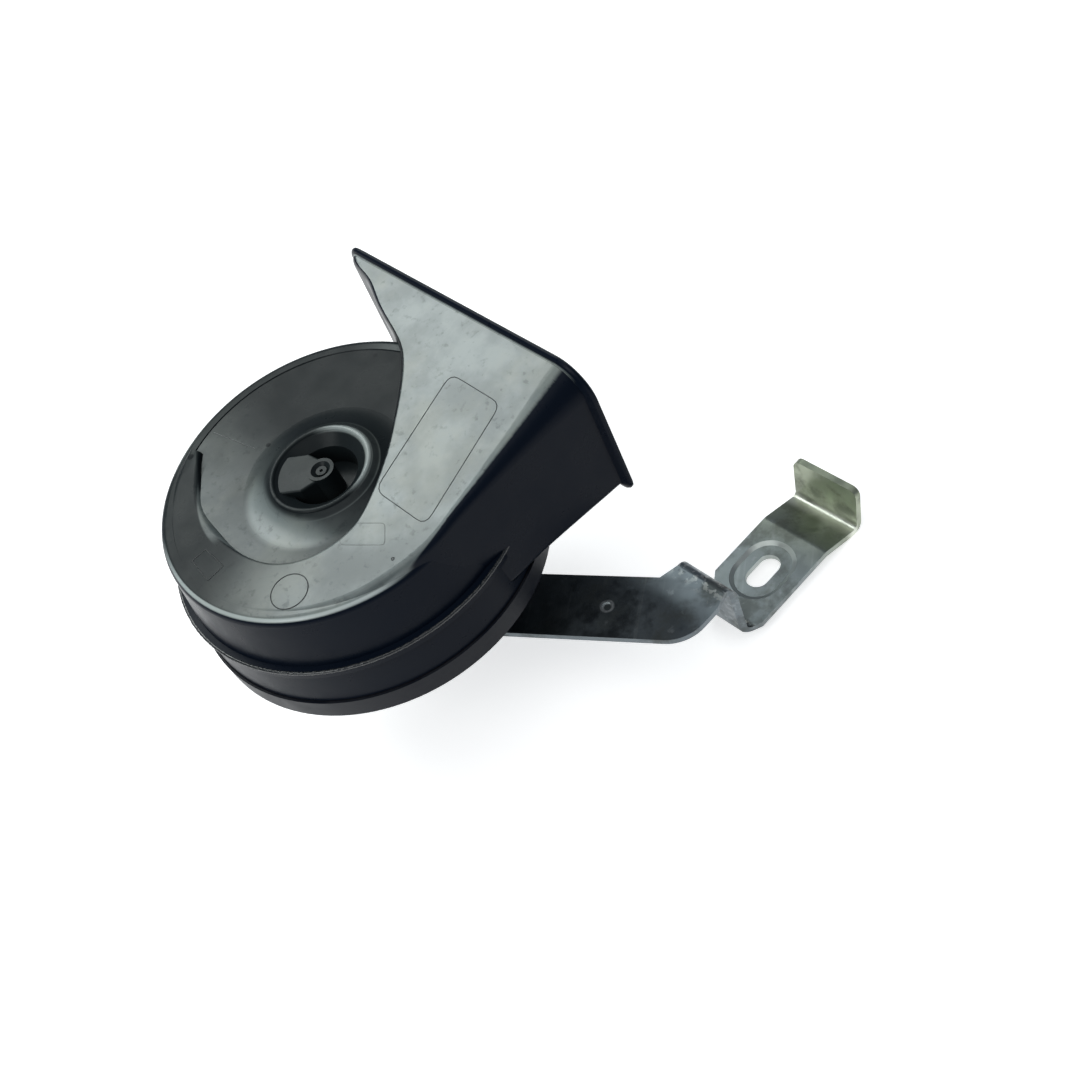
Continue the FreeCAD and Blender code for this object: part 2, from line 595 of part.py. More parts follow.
# Contact set: two leaf arms stacked on one rivet with insulators between them
def make_contacts():
    side = -contact_side
    span = cell["contact_span"]
    fixed_low = cell["fixed_leaf_z"]
    fixed_top = fixed_low + cell["fixed_leaf"]
    moving_low = fixed_top + cell["contact_height"] * 2
    moving_top = moving_low + cell["moving_leaf"]
    insulator_top = moving_top + cell["top_insulator"]
    bore = cell["pillar_radius"] + cell["slip_fit"]
    half = arm_leaf_width / 2
    reach = span + cell["arm_leaf_end"]

    spacers = new_body("contact_spacer")
    outline = new_sketch(spacers, "XY_Plane", can_floor)
    draw_circle(outline, side, -span, cell["spacer_radius"])
    draw_circle(outline, side, -span, bore)
    pad(spacers, outline, fixed_low - can_floor)

    insulator = new_body("contact_insulator")
    outline = new_sketch(insulator, "XY_Plane", fixed_top)
    draw_circle(outline, side, -span, cell["spacer_radius"])
    draw_circle(outline, side, -span, bore)
    pad(insulator, outline, moving_low - fixed_top)

    cap = new_body("contact_cap_insulator")
    outline = new_sketch(cap, "XY_Plane", moving_top)
    draw_circle(outline, side, -span, cell["spacer_radius"])
    draw_circle(outline, side, -span, bore)
    pad(cap, outline, cell["top_insulator"])

    fixed_arm = new_body("fixed_contact_arm")
    outline = new_sketch(fixed_arm, "XY_Plane", fixed_low)
    draw_polygon(outline, rectangle(side - half, side + half, -reach, reach))
    draw_circle(outline, side, -span, bore)
    pad(fixed_arm, outline, cell["fixed_leaf"])

    moving_arm = new_body("moving_contact_arm")
    outline = new_sketch(moving_arm, "XY_Plane", moving_low)
    finger = cell["finger_width"] / 2
    draw_polygon(outline, (
        (side - half, -reach), (side + half, -reach), (side + half, -finger),
        (-cell["finger_reach"], -finger), (-cell["finger_reach"], finger),
        (side + half, finger), (side + half, reach), (side - half, reach)))
    draw_circle(outline, side, -span, bore)
    pad(moving_arm, outline, cell["moving_leaf"])

    upright_pin("fixed_contact", side, span, (
        (cell["contact_radius"], fixed_top, fixed_top + cell["contact_height"]),))
    upright_pin("moving_contact", side, span, (
        (cell["contact_radius"], moving_low - cell["contact_height"], moving_low),))
    upright_pin("contact_rivet", side, -span, (
        (cell["pillar_head"], can_bottom - cell["pillar_head_height"], can_bottom),
        (cell["pillar_radius"], can_bottom, insulator_top),
        (cell["pillar_head"], insulator_top, insulator_top + cell["pillar_head_height"])))
    upright_pin("adjusting_screw", side, span, (
        (cell["adjuster_head_radius"], can_bottom - cell["adjuster_head_height"], can_bottom),
        (cell["adjuster_radius"], can_bottom, fixed_low)))


# Terminals: a moulded block riveted under the can with two spade blades through it
def make_terminals():
    middle = terminal_y
    block_low = can_bottom - cell["terminal_block_height"]
    neck_top = can_floor + cell["terminal_inner_height"]
    half_blade = cell["blade_width"] / 2
    half_sheet = cell["blade_thickness"] / 2
    block = new_body("terminal_block")
    base = new_sketch(block, "XY_Plane", block_low)
    draw_polygon(base, rectangle(
        -cell["terminal_block_length"] / 2, cell["terminal_block_length"] / 2,
        middle - cell["terminal_block_width"] / 2, middle + cell["terminal_block_width"] / 2))
    pad(block, base, cell["terminal_block_height"])
    neck = new_sketch(block, "XY_Plane", block_low)
    draw_polygon(neck, rectangle(
        -cell["terminal_neck_length"] / 2, cell["terminal_neck_length"] / 2,
        middle - cell["terminal_neck_width"] / 2, middle + cell["terminal_neck_width"] / 2))
    pad(block, neck, neck_top - block_low)
    slots = new_sketch(block, "XY_Plane", neck_top)
    for side in (-1, 1):
        blade_x = cell["blade_spacing"] / 2 * side
        draw_polygon(slots, rectangle(
            blade_x - half_blade - cell["thread_fit"], blade_x + half_blade + cell["thread_fit"],
            middle - half_sheet - cell["thread_fit"], middle + half_sheet + cell["thread_fit"]))
    pocket(block, slots, neck_top - block_low)
    holes = new_sketch(block, "XY_Plane", can_bottom)
    for side in (-1, 1):
        draw_circle(holes, cell["terminal_rivet_spacing"] / 2 * side, middle,
                    cell["terminal_rivet_radius"] + cell["slip_fit"])
    pocket(block, holes, cell["terminal_block_height"])

    for side, name in ((-1, "terminal_blade_left"), (1, "terminal_blade_right")):
        blade_x = cell["blade_spacing"] / 2 * side
        blade = new_body(name)
        tip = block_low - cell["blade_length"]
        bevel = cell["blade_thickness"]
        face = new_sketch(blade, "XZ_Plane", -middle)
        draw_polygon(face, (
            (blade_x - half_blade + bevel, tip), (blade_x + half_blade - bevel, tip),
            (blade_x + half_blade, tip + bevel * 2),
            (blade_x + half_blade, neck_top + cell["blade_inside"]),
            (blade_x - half_blade, neck_top + cell["blade_inside"]),
            (blade_x - half_blade, tip + bevel * 2)))
        draw_circle(face, blade_x, tip + cell["blade_length"] / 2, cell["blade_hole_radius"])
        pad(blade, face, cell["blade_thickness"], midplane=True)

    rivets = doc.addObject("Part::Compound", "terminal_rivets")
    rivets.Label = "terminal_rivets"
    links = []
    for side in (-1, 1):
        across = cell["terminal_rivet_spacing"] / 2 * side
        steps = (
            (cell["terminal_rivet_head"], block_low - cell["terminal_rivet_height"], block_low),
            (cell["terminal_rivet_radius"], block_low, can_floor),
            (cell["terminal_rivet_head"], can_floor, can_floor + cell["terminal_rivet_height"]))
        shanks = []
        for radius, low, high in steps:
            cylinder = doc.addObject("Part::Cylinder", "rivet_step")
            cylinder.setExpression("Radius", radius.formula)
            cylinder.setExpression("Height", (high - low).formula)
            cylinder.setExpression("Placement.Base.x", across.formula)
            cylinder.setExpression("Placement.Base.y", middle.formula)
            cylinder.setExpression("Placement.Base.z", low.formula)
            shanks.append(cylinder)
        fused = doc.addObject("Part::MultiFuse", "terminal_rivet")
        fused.Shapes = shanks
        links.append(fused)
    rivets.Links = links


# Bracket: blanked from steel strip, folded down behind the horn and up again at its tail
def fold_edges(shape, corners):
    """Names of the edges that run along Y through the given (x, z) corners."""
    names = []
    for index, edge in enumerate(shape.Edges, start=1):
        if len(edge.Vertexes) != 2:
            continue
        start, end = (vertex.Point for vertex in edge.Vertexes)
        if abs(start.x - end.x) > 1e-4 or abs(start.z - end.z) > 1e-4:
            continue
        for across, up in corners:
            if abs(start.x - across.value) < 1e-3 and abs(start.z - up.value) < 1e-3:
                names.append(f"Edge{index}")
    return names


def upright_edges(shape, corners):
    """Names of the edges that run along Z through the given (x, y) corners."""
    names = []
    for index, edge in enumerate(shape.Edges, start=1):
        if len(edge.Vertexes) != 2:
            continue
        start, end = (vertex.Point for vertex in edge.Vertexes)
        if abs(start.x - end.x) > 1e-4 or abs(start.y - end.y) > 1e-4:
            continue
        for across, along in corners:
            if abs(start.x - across.value) < 1e-3 and abs(start.y - along.value) < 1e-3:
                names.append(f"Edge{index}")
    return names


def top_corner_edges(shape, height, middle, half_width):
    """Names of the two short edges at a height, at both sides of a middle line along X."""
    names = []
    for index, edge in enumerate(shape.Edges, start=1):
        centre = edge.CenterOfMass
        level = abs(centre.z - height.value) < 1e-3
        if level and abs(abs(centre.y - middle.value) - half_width.value) < 1e-3:
            names.append(f"Edge{index}")
    return names


def round_edges(body, base, names, radius):
    feature = body.newObject("PartDesign::Fillet", f"{body.Name}_fillet")
    feature.Base = (base, names)
    feature.Radius = radius.value
    feature.setExpression("Radius", radius.formula)
    doc.recompute()
    return feature


def root_of_squares(first, second):
    return Size(math.hypot(first.value, second.value),
                f"sqrt({first.formula} ^ 2 + {second.formula} ^ 2)")


def offset_corner(before, corner, after, distance):
    """Corner of a folded sheet's other side, for points (x, z) of the first side."""
    normals = []
    for start, end in ((before, corner), (corner, after)):
        run, rise = end[0] - start[0], end[1] - start[1]
        length = root_of_squares(run, rise)
        normals.append((rise / length, -run / length))
    (first_x, first_z), (second_x, second_z) = normals
    share = distance / (first_x * second_x + first_z * second_z + 1)
    return corner[0] + (first_x + second_x) * share, corner[1] + (first_z + second_z) * share


# Bracket levels and folds
fold_start = derived(
    "fold_start", cell["crest_x"] - cell["strip_thickness"] - cell["fold_radius"])
plate_top = derived("plate_top", can_bottom - cell["flange_drop"])
plate_bottom = derived("plate_bottom", plate_top - cell["strip_thickness"])
trough = (cell["tail_start_x"] + cell["tail_run"], plate_top - cell["tail_drop"])
tab_end = (trough[0] + cell["tab_lean"], trough[1] + cell["tab_height"])
trough_under = offset_corner(
    (cell["tail_start_x"], plate_top), trough, tab_end, cell["strip_thickness"])
trough_under = (derived("trough_under_x", trough_under[0]),
                derived("trough_under_z", trough_under[1]))
tail_under = offset_corner(
    (cell["crest_x"], plate_top), (cell["tail_start_x"], plate_top), trough,
    cell["strip_thickness"])
tail_under = (derived("tail_under_x", tail_under[0]), tail_under[1])


def side_profile():
    """Side view of the folded strip as (x, z) corners: down, level, sloping down and up again."""
    thick = cell["strip_thickness"]
    return (
        (fold_start - thick, can_bottom),
        (cell["crest_x"], can_bottom),
        (cell["crest_x"], plate_top),
        (cell["tail_start_x"], plate_top),
        trough,
        tab_end,
        (tab_end[0] + thick, tab_end[1]),
        trough_under,
        tail_under,
        (cell["crest_x"] - thick, plate_bottom),
        (cell["crest_x"] - thick, strip_bottom),
        (fold_start - thick, strip_bottom))


def make_bracket():
    body = new_body("mounting_bracket")
    thick = cell["strip_thickness"]
    half_arm = cell["arm_width"] / 2
    half_neck = cell["neck_width"] / 2
    half_plate = cell["plate_width"] / 2
    middle = -cell["plate_offset"]
    along = (cosine(cell["arm_angle"]), -sine(cell["arm_angle"]))
    beside = (sine(cell["arm_angle"]), cosine(cell["arm_angle"]))

    def elbow(side):
        """Corner where the arm's left (1) or right (-1) edge meets the strip's edge."""
        height = middle + half_arm * side
        run = (height - beside[1] * half_arm * side) / along[1]
        return along[0] * run + beside[0] * half_arm * side, height

    inner_elbow, outer_elbow = elbow(1), elbow(-1)
    shoulder_x = fold_start - half_neck / 2
    arm = new_sketch(body, "XY_Plane", strip_bottom)
    draw_polygon(arm, (
        (beside[0] * half_arm, beside[1] * half_arm),
        (-beside[0] * half_arm, -beside[1] * half_arm),
        outer_elbow,
        (shoulder_x, middle - half_arm),
        (fold_start, middle - half_neck),
        (fold_start, middle + half_neck),
        inner_elbow))
    pad(body, arm, thick)
    end = new_sketch(body, "XY_Plane", strip_bottom)
    draw_circle(end, 0, 0, half_arm)
    pad(body, end, thick)
    profile = side_profile()
    side = new_sketch(body, "XZ_Plane", -middle)
    draw_polygon(side, profile)
    base = pad(body, side, cell["plate_width"], midplane=True)
    doc.recompute()
    names = upright_edges(base.Shape, (outer_elbow,))
    base = round_edges(body, base, names, cell["elbow_radius"])
    for corners, radius in (
            ((profile[1], profile[3], profile[7], profile[9]), cell["fold_radius"] + thick),
            ((profile[2], profile[4], profile[8], profile[10]), cell["fold_radius"])):
        base = round_edges(body, base, fold_edges(base.Shape, corners), radius)
    names = top_corner_edges(base.Shape, tab_end[1], middle, half_plate)
    base = round_edges(body, base, names, cell["tab_corner"])

    # The strip is narrow at its fold and widens to the plate
    outside = half_plate + thick
    widening = cell["neck_end_x"] - thick * 2
    neck = new_sketch(body, "XY_Plane", can_bottom)
    draw_polygon(neck, (
        inner_elbow, (fold_start, middle + half_neck),
        (widening, middle + half_neck), (cell["neck_end_x"], middle + half_plate),
        (cell["neck_end_x"], middle + outside), (inner_elbow[0], middle + outside)))
    draw_polygon(neck, (
        (shoulder_x, middle - half_arm), (fold_start, middle - half_neck),
        (cell["crest_x"] - thick, middle - half_neck), (widening - thick, middle - half_plate),
        (widening - thick, middle - outside), (shoulder_x, middle - outside)))
    pocket(body, neck, cell["flange_drop"] + thick * 2)

    stud_hole = new_sketch(body, "XY_Plane", can_bottom)
    draw_circle(stud_hole, 0, 0, cell["stud_radius"] + cell["bolt_clearance"])
    pocket(body, stud_hole, thick)
    pip = new_sketch(body, "XY_Plane", can_bottom)
    draw_circle(pip, along[0] * cell["pip_reach"], along[1] * cell["pip_reach"],
                cell["pip_radius"])
    pocket(body, pip, cell["pip_depth"])

    # Oval round the slot, pushed through to the back of the plate
    pad_back = new_sketch(body, "XY_Plane", plate_bottom - cell["pad_depth"])
    draw_slot(pad_back, cell["slot_x"], middle, cell["pad_length"], cell["pad_width"])
    pad(body, pad_back, cell["pad_depth"])
    pad_front = new_sketch(body, "XY_Plane", plate_top)
    draw_slot(pad_front, cell["slot_x"], middle, cell["pad_length"], cell["pad_width"])
    pocket(body, pad_front, cell["pad_depth"], cell["pad_slope"])
    slot = new_sketch(body, "XY_Plane", plate_top)
    draw_slot(slot, cell["slot_x"], middle, cell["slot_length"], cell["slot_width"])
    pocket(body, slot, thick + cell["pad_depth"])


# Trumpet: everything below is plain geometry, because the spiral has no straight extrusion
face_z = face_height.value
weld_z = weld_plane.value


def top_height(x):
    """Top of the spiral: level, then a long arc, then a straight ramp to the mouth."""
    run = x - number["ramp_start"]
    if run <= 0:
        return face_z
    if x <= 0:
        return face_z + number["ramp_slope"] * run * run / (-2 * number["ramp_start"])
    return face_z + number["ramp_slope"] * (x - number["ramp_start"] / 2)


def floor_height(x):
    """Underside of the spiral and the bell."""
    fall = max(0.0, x - number["bell_floor_x"])
    return number["bell_floor"] - number["bell_floor_slope"] * fall


def inner_radius(angle):
    """Inner edge of the spiral: two parabolas that meet half a turn before the wall."""
    if angle < 180:
        share = (180 - angle) / (180 - number["spiral_start_angle"])
        end = number["spiral_start_width"]
    else:
        share = (angle - 180) / 90
        end = number["spiral_end_width"]
    return face_radius.value - between(number["spiral_neck_width"], end, share * share)


def dish_fall(radius):
    """How far the dish lies under the face at a radius."""
    rim = face_radius.value - number["face_rounding"] - number["rim_width"] - number["rim_step"]
    share = (rim - radius) / (rim - number["dish_radius"])
    return between(number["rim_step"], number["dish_depth"], share)


def fade_share(angle):
    """1 where the spiral's inner edge lies in the dish, 0 where it has its full step."""
    last = number["spiral_fade_angle"]
    share = (last - angle) / (last - number["spiral_start_angle"])
    share = min(max((share - 0.2) / 0.6, 0.0), 1.0)
    return share * share * (3 - 2 * share)


def polar(radius, angle):
    return Vector(radius * math.cos(math.radians(angle)), radius * math.sin(math.radians(angle)), 0)


def between(start, end, share):
    return start + (end - start) * share


SPIRAL_STEPS = 7

# Left side of the bell, from the spiral's end to the mouth, as shares of the way there
FLARE = ((0.235, 0.100), (0.375, 0.182), (0.490, 0.256), (0.600, 0.338), (0.690, 0.435),
         (0.757, 0.570), (0.826, 0.714), (0.905, 0.863), (1.0, 1.0))


def stations(edge_inset):
    """Plan of each section: inner point, outer point, share of the way to the mouth, and how
    far its inner edge is sunk under the top."""
    rows = []
    start = number["spiral_start_angle"]
    round_edge = face_radius.value - edge_inset
    for step in range(SPIRAL_STEPS):
        angle = start + (270 - start) * step / SPIRAL_STEPS
        spread = max(0.0, (angle - 225) / 45)
        outer = between(round_edge, wall_offset.value, spread * spread)
        inner = inner_radius(angle)
        sink = dish_fall(inner) * fade_share(angle)
        rows.append((polar(inner, angle), polar(outer, angle), 0.0, sink))
    first = polar(inner_radius(270), 270)
    last = Vector(mouth_x.value, mouth_left.value, 0)
    rows.append((first, Vector(0, -wall_offset.value, 0), 0.0, 0.0))
    for share_x, share_y in FLARE:
        inner = Vector(between(first.x, last.x, share_x), between(first.y, last.y, share_y), 0)
        outer_x = mouth_x.value * share_x ** 1.25
        spread = number["wall_spread"] * (outer_x / mouth_x.value) ** 2
        rows.append((inner, Vector(outer_x, -wall_offset.value - spread, 0), share_x, 0.0))
    return rows


def crossing(rows, index):
    """How squarely a section crosses the spiral's inner edge: 1 is square."""
    before, after = rows[max(index - 1, 0)][0], rows[min(index + 1, len(rows) - 1)][0]
    along = (after - before).normalize()
    inner, outer = rows[index][:2]
    return max(abs((outer - inner).normalize().cross(along).z), 0.5)


def rounded_wire(corners, radii, place):
    """Closed wire through flat corners with each corner rounded; place turns (u, z) into 3-D."""
    count = len(corners)
    ends = []
    for index in range(count):
        corner = corners[index]
        before = (corners[index - 1] - corner).normalize()
        after = (corners[(index + 1) % count] - corner).normalize()
        half_angle = before.getAngle(after) / 2
        radius = radii[index]
        reach = radius / math.tan(half_angle)
        middle_line = (before + after).normalize()
        centre = corner + middle_line * (radius / math.sin(half_angle))
        ends.append((corner + before * reach, centre - middle_line * radius,
                     corner + after * reach))
    edges = []
    for index in range(count):
        start, middle, end = ends[index]
        edges.append(Part.Arc(place(start), place(middle), place(end)).toShape())
        following = ends[(index + 1) % count][0]
        edges.append(Part.LineSegment(place(end), place(following)).toShape())
    return Part.Wire(edges)


def section_wire(row, square, inset, shift=0.0, lower=0.0):
    """One upright section of the spiral, shrunk by inset, moved along X by shift, and moved
    down and to the right by lower."""
    inner, outer, share, sink = row
    width = (outer - inner).Length
    direction = (outer - inner).normalize()
    draft = number["wall_draft"]
    top_in, top_out = top_height(inner.x) - inset, top_height(outer.x) - inset
    top_in -= sink
    low_in, low_out = floor_height(inner.x) + inset, floor_height(outer.x) + inset
    left, right = inset / square, width - inset
    corners = [
        Vector(left - draft * (top_in - low_in), low_in, 0),
        Vector(right + draft * (top_out - low_out), low_out, 0),
        Vector(right, top_out, 0),
        Vector(left, top_in, 0)]
    outer_edge = between(number["edge_start"], number["edge_mouth"], share * share)
    inner_edge = between(number["step_edge"], number["step_edge_mouth"], share)
    inner_edge = between(inner_edge, number["step_edge_start"], min(sink, 1.0))
    inner_edge = min(inner_edge, (right - left) / 2)
    least = number["step_edge"] * 0.8
    low_edge = min(max(number["bell_corner"] - inset, least), (right - left) / 3)
    radii = [low_edge, low_edge, max(outer_edge - inset, least), max(inner_edge - inset, least)]

    def place(point):
        return (Vector(inner.x + shift, inner.y - lower, point.y - lower)
                + direction * point.x)

    return rounded_wire(corners, radii, place)


def spiral_solid(inset, edge_inset, first=0, overrun=0.0):
    """Loft of the sections from the first on; overrun carries the last past the mouth."""
    rows = stations(edge_inset)
    wires = [section_wire(rows[index], crossing(rows, index), inset)
             for index in range(first, len(rows))]
    if overrun:
        wires.append(section_wire(rows[-1], crossing(rows, len(rows) - 1), inset, overrun))
    return Part.makeLoft(wires, True, False)


def lip_solid():
    """Bead round the mouth: it swells out of the wall and its front edge is rounded off."""
    row = stations(0.0)[-1]
    rise, width, sink = number["lip_rise"], number["lip_width"], number["lip_sink"]
    steps = ((1.0, -sink), (0.62, 0.75), (0.42, 1.0), (0.16, 1.0), (0.0, 0.7))
    wires = [section_wire(row, 1.0, -rise * share, -width * back, sink)
             for back, share in steps]
    return Part.makeLoft(wires, True, True)


def turned(corners):
    """Solid of revolution about Z from (radius, height) points and arcs of three points."""
    edges = []
    for item in corners:
        points = [Vector(radius, 0, height) for radius, height in item]
        if len(points) == 2:
            edges.append(Part.LineSegment(*points).toShape())
        else:
            edges.append(Part.Arc(*points).toShape())
    face = Part.Face(Part.Wire(edges))
    return face.revolve(Vector(0, 0, 0), Vector(0, 0, 1), 360)


def disc_profile():
    """Half section of the front shell's outside, from the weld plane up to the eye."""
    wall_top, rounding = face_radius.value, number["face_rounding"]
    flat_edge = wall_top - rounding
    corner = rounding * math.sqrt(0.5)
    rim = flat_edge - number["rim_width"]
    step_r, step_z = rim - number["rim_step"], face_z - number["rim_step"]
    low_r, low = number["dish_radius"], face_z - number["dish_depth"]
    eye_r, bead = number["eye_radius"], number["eye_bead"]
    crest = face_z + number["eye_rise"]
    shoulder_r, shoulder = eye_r + bead / 2, between(low, crest, 0.70)
    neck_r, neck = number["eye_neck_radius"], face_z - number["eye_neck_depth"]
    floor_r, floor = number["eye_floor_radius"], face_z - number["eye_depth"]
    bead_in, bead_low = eye_r - bead, crest - bead * 0.35
    return [
        ((0, weld_z), (front_radius.value, weld_z)),
        ((front_radius.value, weld_z), (wall_top, face_z - rounding)),
        ((wall_top, face_z - rounding),
         (flat_edge + corner, face_z - rounding + corner), (flat_edge, face_z)),
        ((flat_edge, face_z), (rim, face_z)),
        ((rim, face_z), (step_r, step_z)),
        ((step_r, step_z), (low_r, low)),
        ((low_r, low), (between(low_r, shoulder_r, 0.60), between(low, shoulder, 0.38)),
         (shoulder_r, shoulder)),
        ((shoulder_r, shoulder), (eye_r, bead_low)),
        ((eye_r, bead_low), (eye_r - bead / 2, crest), (bead_in, bead_low)),
        ((bead_in, bead_low), (neck_r, neck)),
        ((neck_r, neck), (floor_r, floor)),
        ((floor_r, floor), (0, floor)),
        ((0, floor), (0, weld_z))]


def room_profile():
    """Half section of the room inside the front shell, one wall behind its outside."""
    wall = number["shell_wall"]
    bevel = wall / 2
    wall_low, wall_top = front_radius.value - wall, face_radius.value - wall
    roof = face_z - wall
    rim = wall_top - number["rim_width"]
    low_r, low = number["dish_radius"], roof - number["dish_depth"]
    floor_r, floor = number["eye_floor_radius"] + wall, roof - number["eye_depth"]
    points = [
        (0, weld_z), (wall_low, weld_z), (wall_top, roof - bevel), (wall_top - bevel, roof),
        (rim, roof), (low_r, low), (floor_r + bevel, low), (floor_r, floor), (0, floor)]
    return list(zip(points, points[1:] + points[:1]))


def rod(radius, low, high, centre=Vector(0, 0, 0)):
    return Part.makeCylinder(radius, high - low, Vector(centre.x, centre.y, low), Vector(0, 0, 1))


def bar(direction, start, end, width, low, high):
    """Upright block that runs from start to end along a direction in plan."""
    block = Part.makeBox(end - start, width, high - low, Vector(start, -width / 2, low))
    block.rotate(Vector(0, 0, 0), Vector(0, 0, 1), direction)
    return block


def tongue(low, high):
    """Tongue from the eye's wall to the gate boss; it narrows to the width of the boss."""
    reach = number["eye_radius"] - number["eye_bead"] / 2
    shoulder = number["tongue_shoulder"]
    narrow, wide = number["gate_radius"] - number["gate_rim"] / 2, number["tongue_width"] / 2
    outline = ((0, -narrow), (shoulder, -wide), (reach, -wide), (reach, wide),
               (shoulder, wide), (0, narrow))
    corners = [Vector(along, beside, low) for along, beside in outline]
    block = Part.Face(Part.makePolygon(corners + corners[:1])).extrude(Vector(0, 0, high - low))
    edges = [edge for edge in block.Edges
             if edge.BoundBox.ZMin > high - 1e-6 and edge.CenterOfMass.x < reach - 1e-6]
    block = block.makeFillet(number["tongue_edge"], edges)
    block.rotate(Vector(0, 0, 0), Vector(0, 0, 1), number["tongue_angle"])
    return block


def make_trumpet():
    wall = number["shell_wall"]
    weld_r = weld_radius.value
    flange = number["weld_flange"]
    wide = number["ring_radius"] * 2
    step_x = number["bell_step_x"]
    seam_z = seam_height.value
    floor_top = seam_z + number["rear_floor"]
    floor_low = floor_top - wall
    tall = face_z * 2

    outside = spiral_solid(0.0, number["face_rounding"])
    duct = spiral_solid(wall, 0.0, 1, wall)
    below = Part.makeBox(wide + step_x, wide * 2, weld_z, Vector(-wide, -wide, 0))
    bell = outside.cut(below)
    passage_wide = number["throat_width"] + 2 * wall
    angle = number["throat_angle"]
    reach = face_radius.value - number["throat_end"]
    passage_top = weld_z + number["throat_rise"]
    passage = bar(angle, 0, reach, number["throat_width"], floor_top, passage_top).fuse(
        rod(number["throat_width"] / 2, floor_top, passage_top))
    passage_walls = bar(angle, 0, reach - wall, passage_wide, floor_low, passage_top + wall).fuse(
        rod(passage_wide / 2, floor_low, passage_top + wall))
    above = Part.makeBox(wide * 2, wide * 2, tall, Vector(-wide, -wide, weld_z))

    front = turned(disc_profile()).cut(turned(room_profile()))
    front = front.fuse(rod(weld_r, weld_z, weld_z + flange).cut(
        rod(front_radius.value - wall, weld_z, weld_z + flange)))
    eye_floor = face_z - number["eye_depth"]
    tongue_top = face_z + number["tongue_rise"]
    front = front.fuse([bell, lip_solid(), passage_walls.common(above),
                        tongue(eye_floor - wall / 2, tongue_top)])
    front = front.cut([duct, passage])
    front = front.fuse(rod(number["gate_radius"], eye_floor - wall / 2,
                           tongue_top + number["gate_rise"]))
    cup_floor = tongue_top + number["gate_rise"] - number["gate_depth"]
    cup = number["gate_radius"] - number["gate_rim"]
    front = front.cut(Part.makeCone(number["gate_pip_radius"], cup, number["gate_depth"],
                                    Vector(0, 0, cup_floor), Vector(0, 0, 1)))
    front = front.fuse(rod(number["gate_pip_radius"], cup_floor - wall / 4,
                           cup_floor + number["gate_depth"] / 2))
    front = front.cut(rod(number["gate_pin_radius"], cup_floor, face_z * 2))

    seam_r, rear_top = rear_radius.value, rear_top_radius.value
    inside = rear_top - wall
    spigot_z = spigot_bottom.value
    collar = spigot_radius.value
    rear = turned([
        ((gasket_inside.value, spigot_z), (collar, spigot_z)),
        ((collar, spigot_z), (collar, seam_z)),
        ((collar, seam_z), (seam_r, seam_z)),
        ((seam_r, seam_z), (rear_top, weld_z - flange)),
        ((rear_top, weld_z - flange), (weld_r, weld_z - flange)),
        ((weld_r, weld_z - flange), (weld_r, weld_z)),
        ((weld_r, weld_z), (inside, weld_z)),
        ((inside, weld_z), (inside, floor_top)),
        ((inside, floor_top), (number["throat_radius"], floor_top)),
        ((number["throat_radius"], floor_top), (number["throat_radius"], floor_low)),
        ((number["throat_radius"], floor_low), (gasket_inside.value, floor_low)),
        ((gasket_inside.value, floor_low), (gasket_inside.value, spigot_z))])
    lower = outside.common(below).common(Part.makeBox(
        wide * 2, wide * 2, tall, Vector(-wide, -wide, floor_low)))
    rear = rear.fuse([lower, passage_walls.cut(above).cut(rod(number["throat_radius"], 0, tall))])
    rear = rear.cut([duct, passage])
    room = spiral_solid(-number["shell_gap"], number["face_rounding"], SPIRAL_STEPS - 1)
    beyond = Part.makeBox(wide, wide * 2, weld_z, Vector(step_x - number["shell_gap"], -wide, 0))
    rear = rear.cut(room.common(beyond))
    for name, shape in (("trumpet_front_shell", front), ("trumpet_rear_shell", rear)):
        feature = doc.addObject("Part::Feature", name)
        feature.Label = name
        solids = shape.removeSplitter().Solids
        if len(solids) != 1:
            raise ValueError(f"{name} falls into {len(solids)} pieces")
        feature.Shape = solids[0]


make_pole_core()
make_bracket_nut()
make_lock_washer()
make_housing_can()
make_clamp_ring()
turned_ring("rear_gasket", gasket_inside, spigot_radius, flange_top, diaphragm_rim)
turned_ring("front_gasket", gasket_inside, spigot_radius, front_gasket_bottom, spigot_bottom)
make_diaphragm()
make_armature_parts()
make_coil()
make_contacts()
make_terminals()
make_bracket()
make_trumpet()
doc.recompute()

# Check everything and write one file per sub-part
for item in doc.Objects:
    if "Invalid" in item.State or "Error" in item.State:
        raise ValueError(f"{item.Name} is {item.State}")

NODES = [item for item in doc.Objects
         if item.TypeId in ("PartDesign::Body", "Part::Feature", "Part::Compound")]
os.makedirs("parts", exist_ok=True)
for node in NODES:
    shape = node.Shape
    if shape.isNull() or not shape.isValid():
        raise ValueError(f"{node.Label} has no valid shape")
    shape.exportStep(f"parts/{node.Label}.step")
    print(f"{node.Label}: {len(shape.Solids)} solid, {shape.Volume:.0f} mm3")
print(len(NODES), "nodes")
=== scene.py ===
# %% [markdown]
# # An electric snail horn
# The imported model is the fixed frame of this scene: its solids are already in the right place
# and at the right size. Loading it first means that every later piece can be measured from it.
# Blender works in metres, and the horn is easier to describe in millimetres, hence `MM`.

# %% Load the frame
import bpy
import math
from mathutils import Matrix, Vector


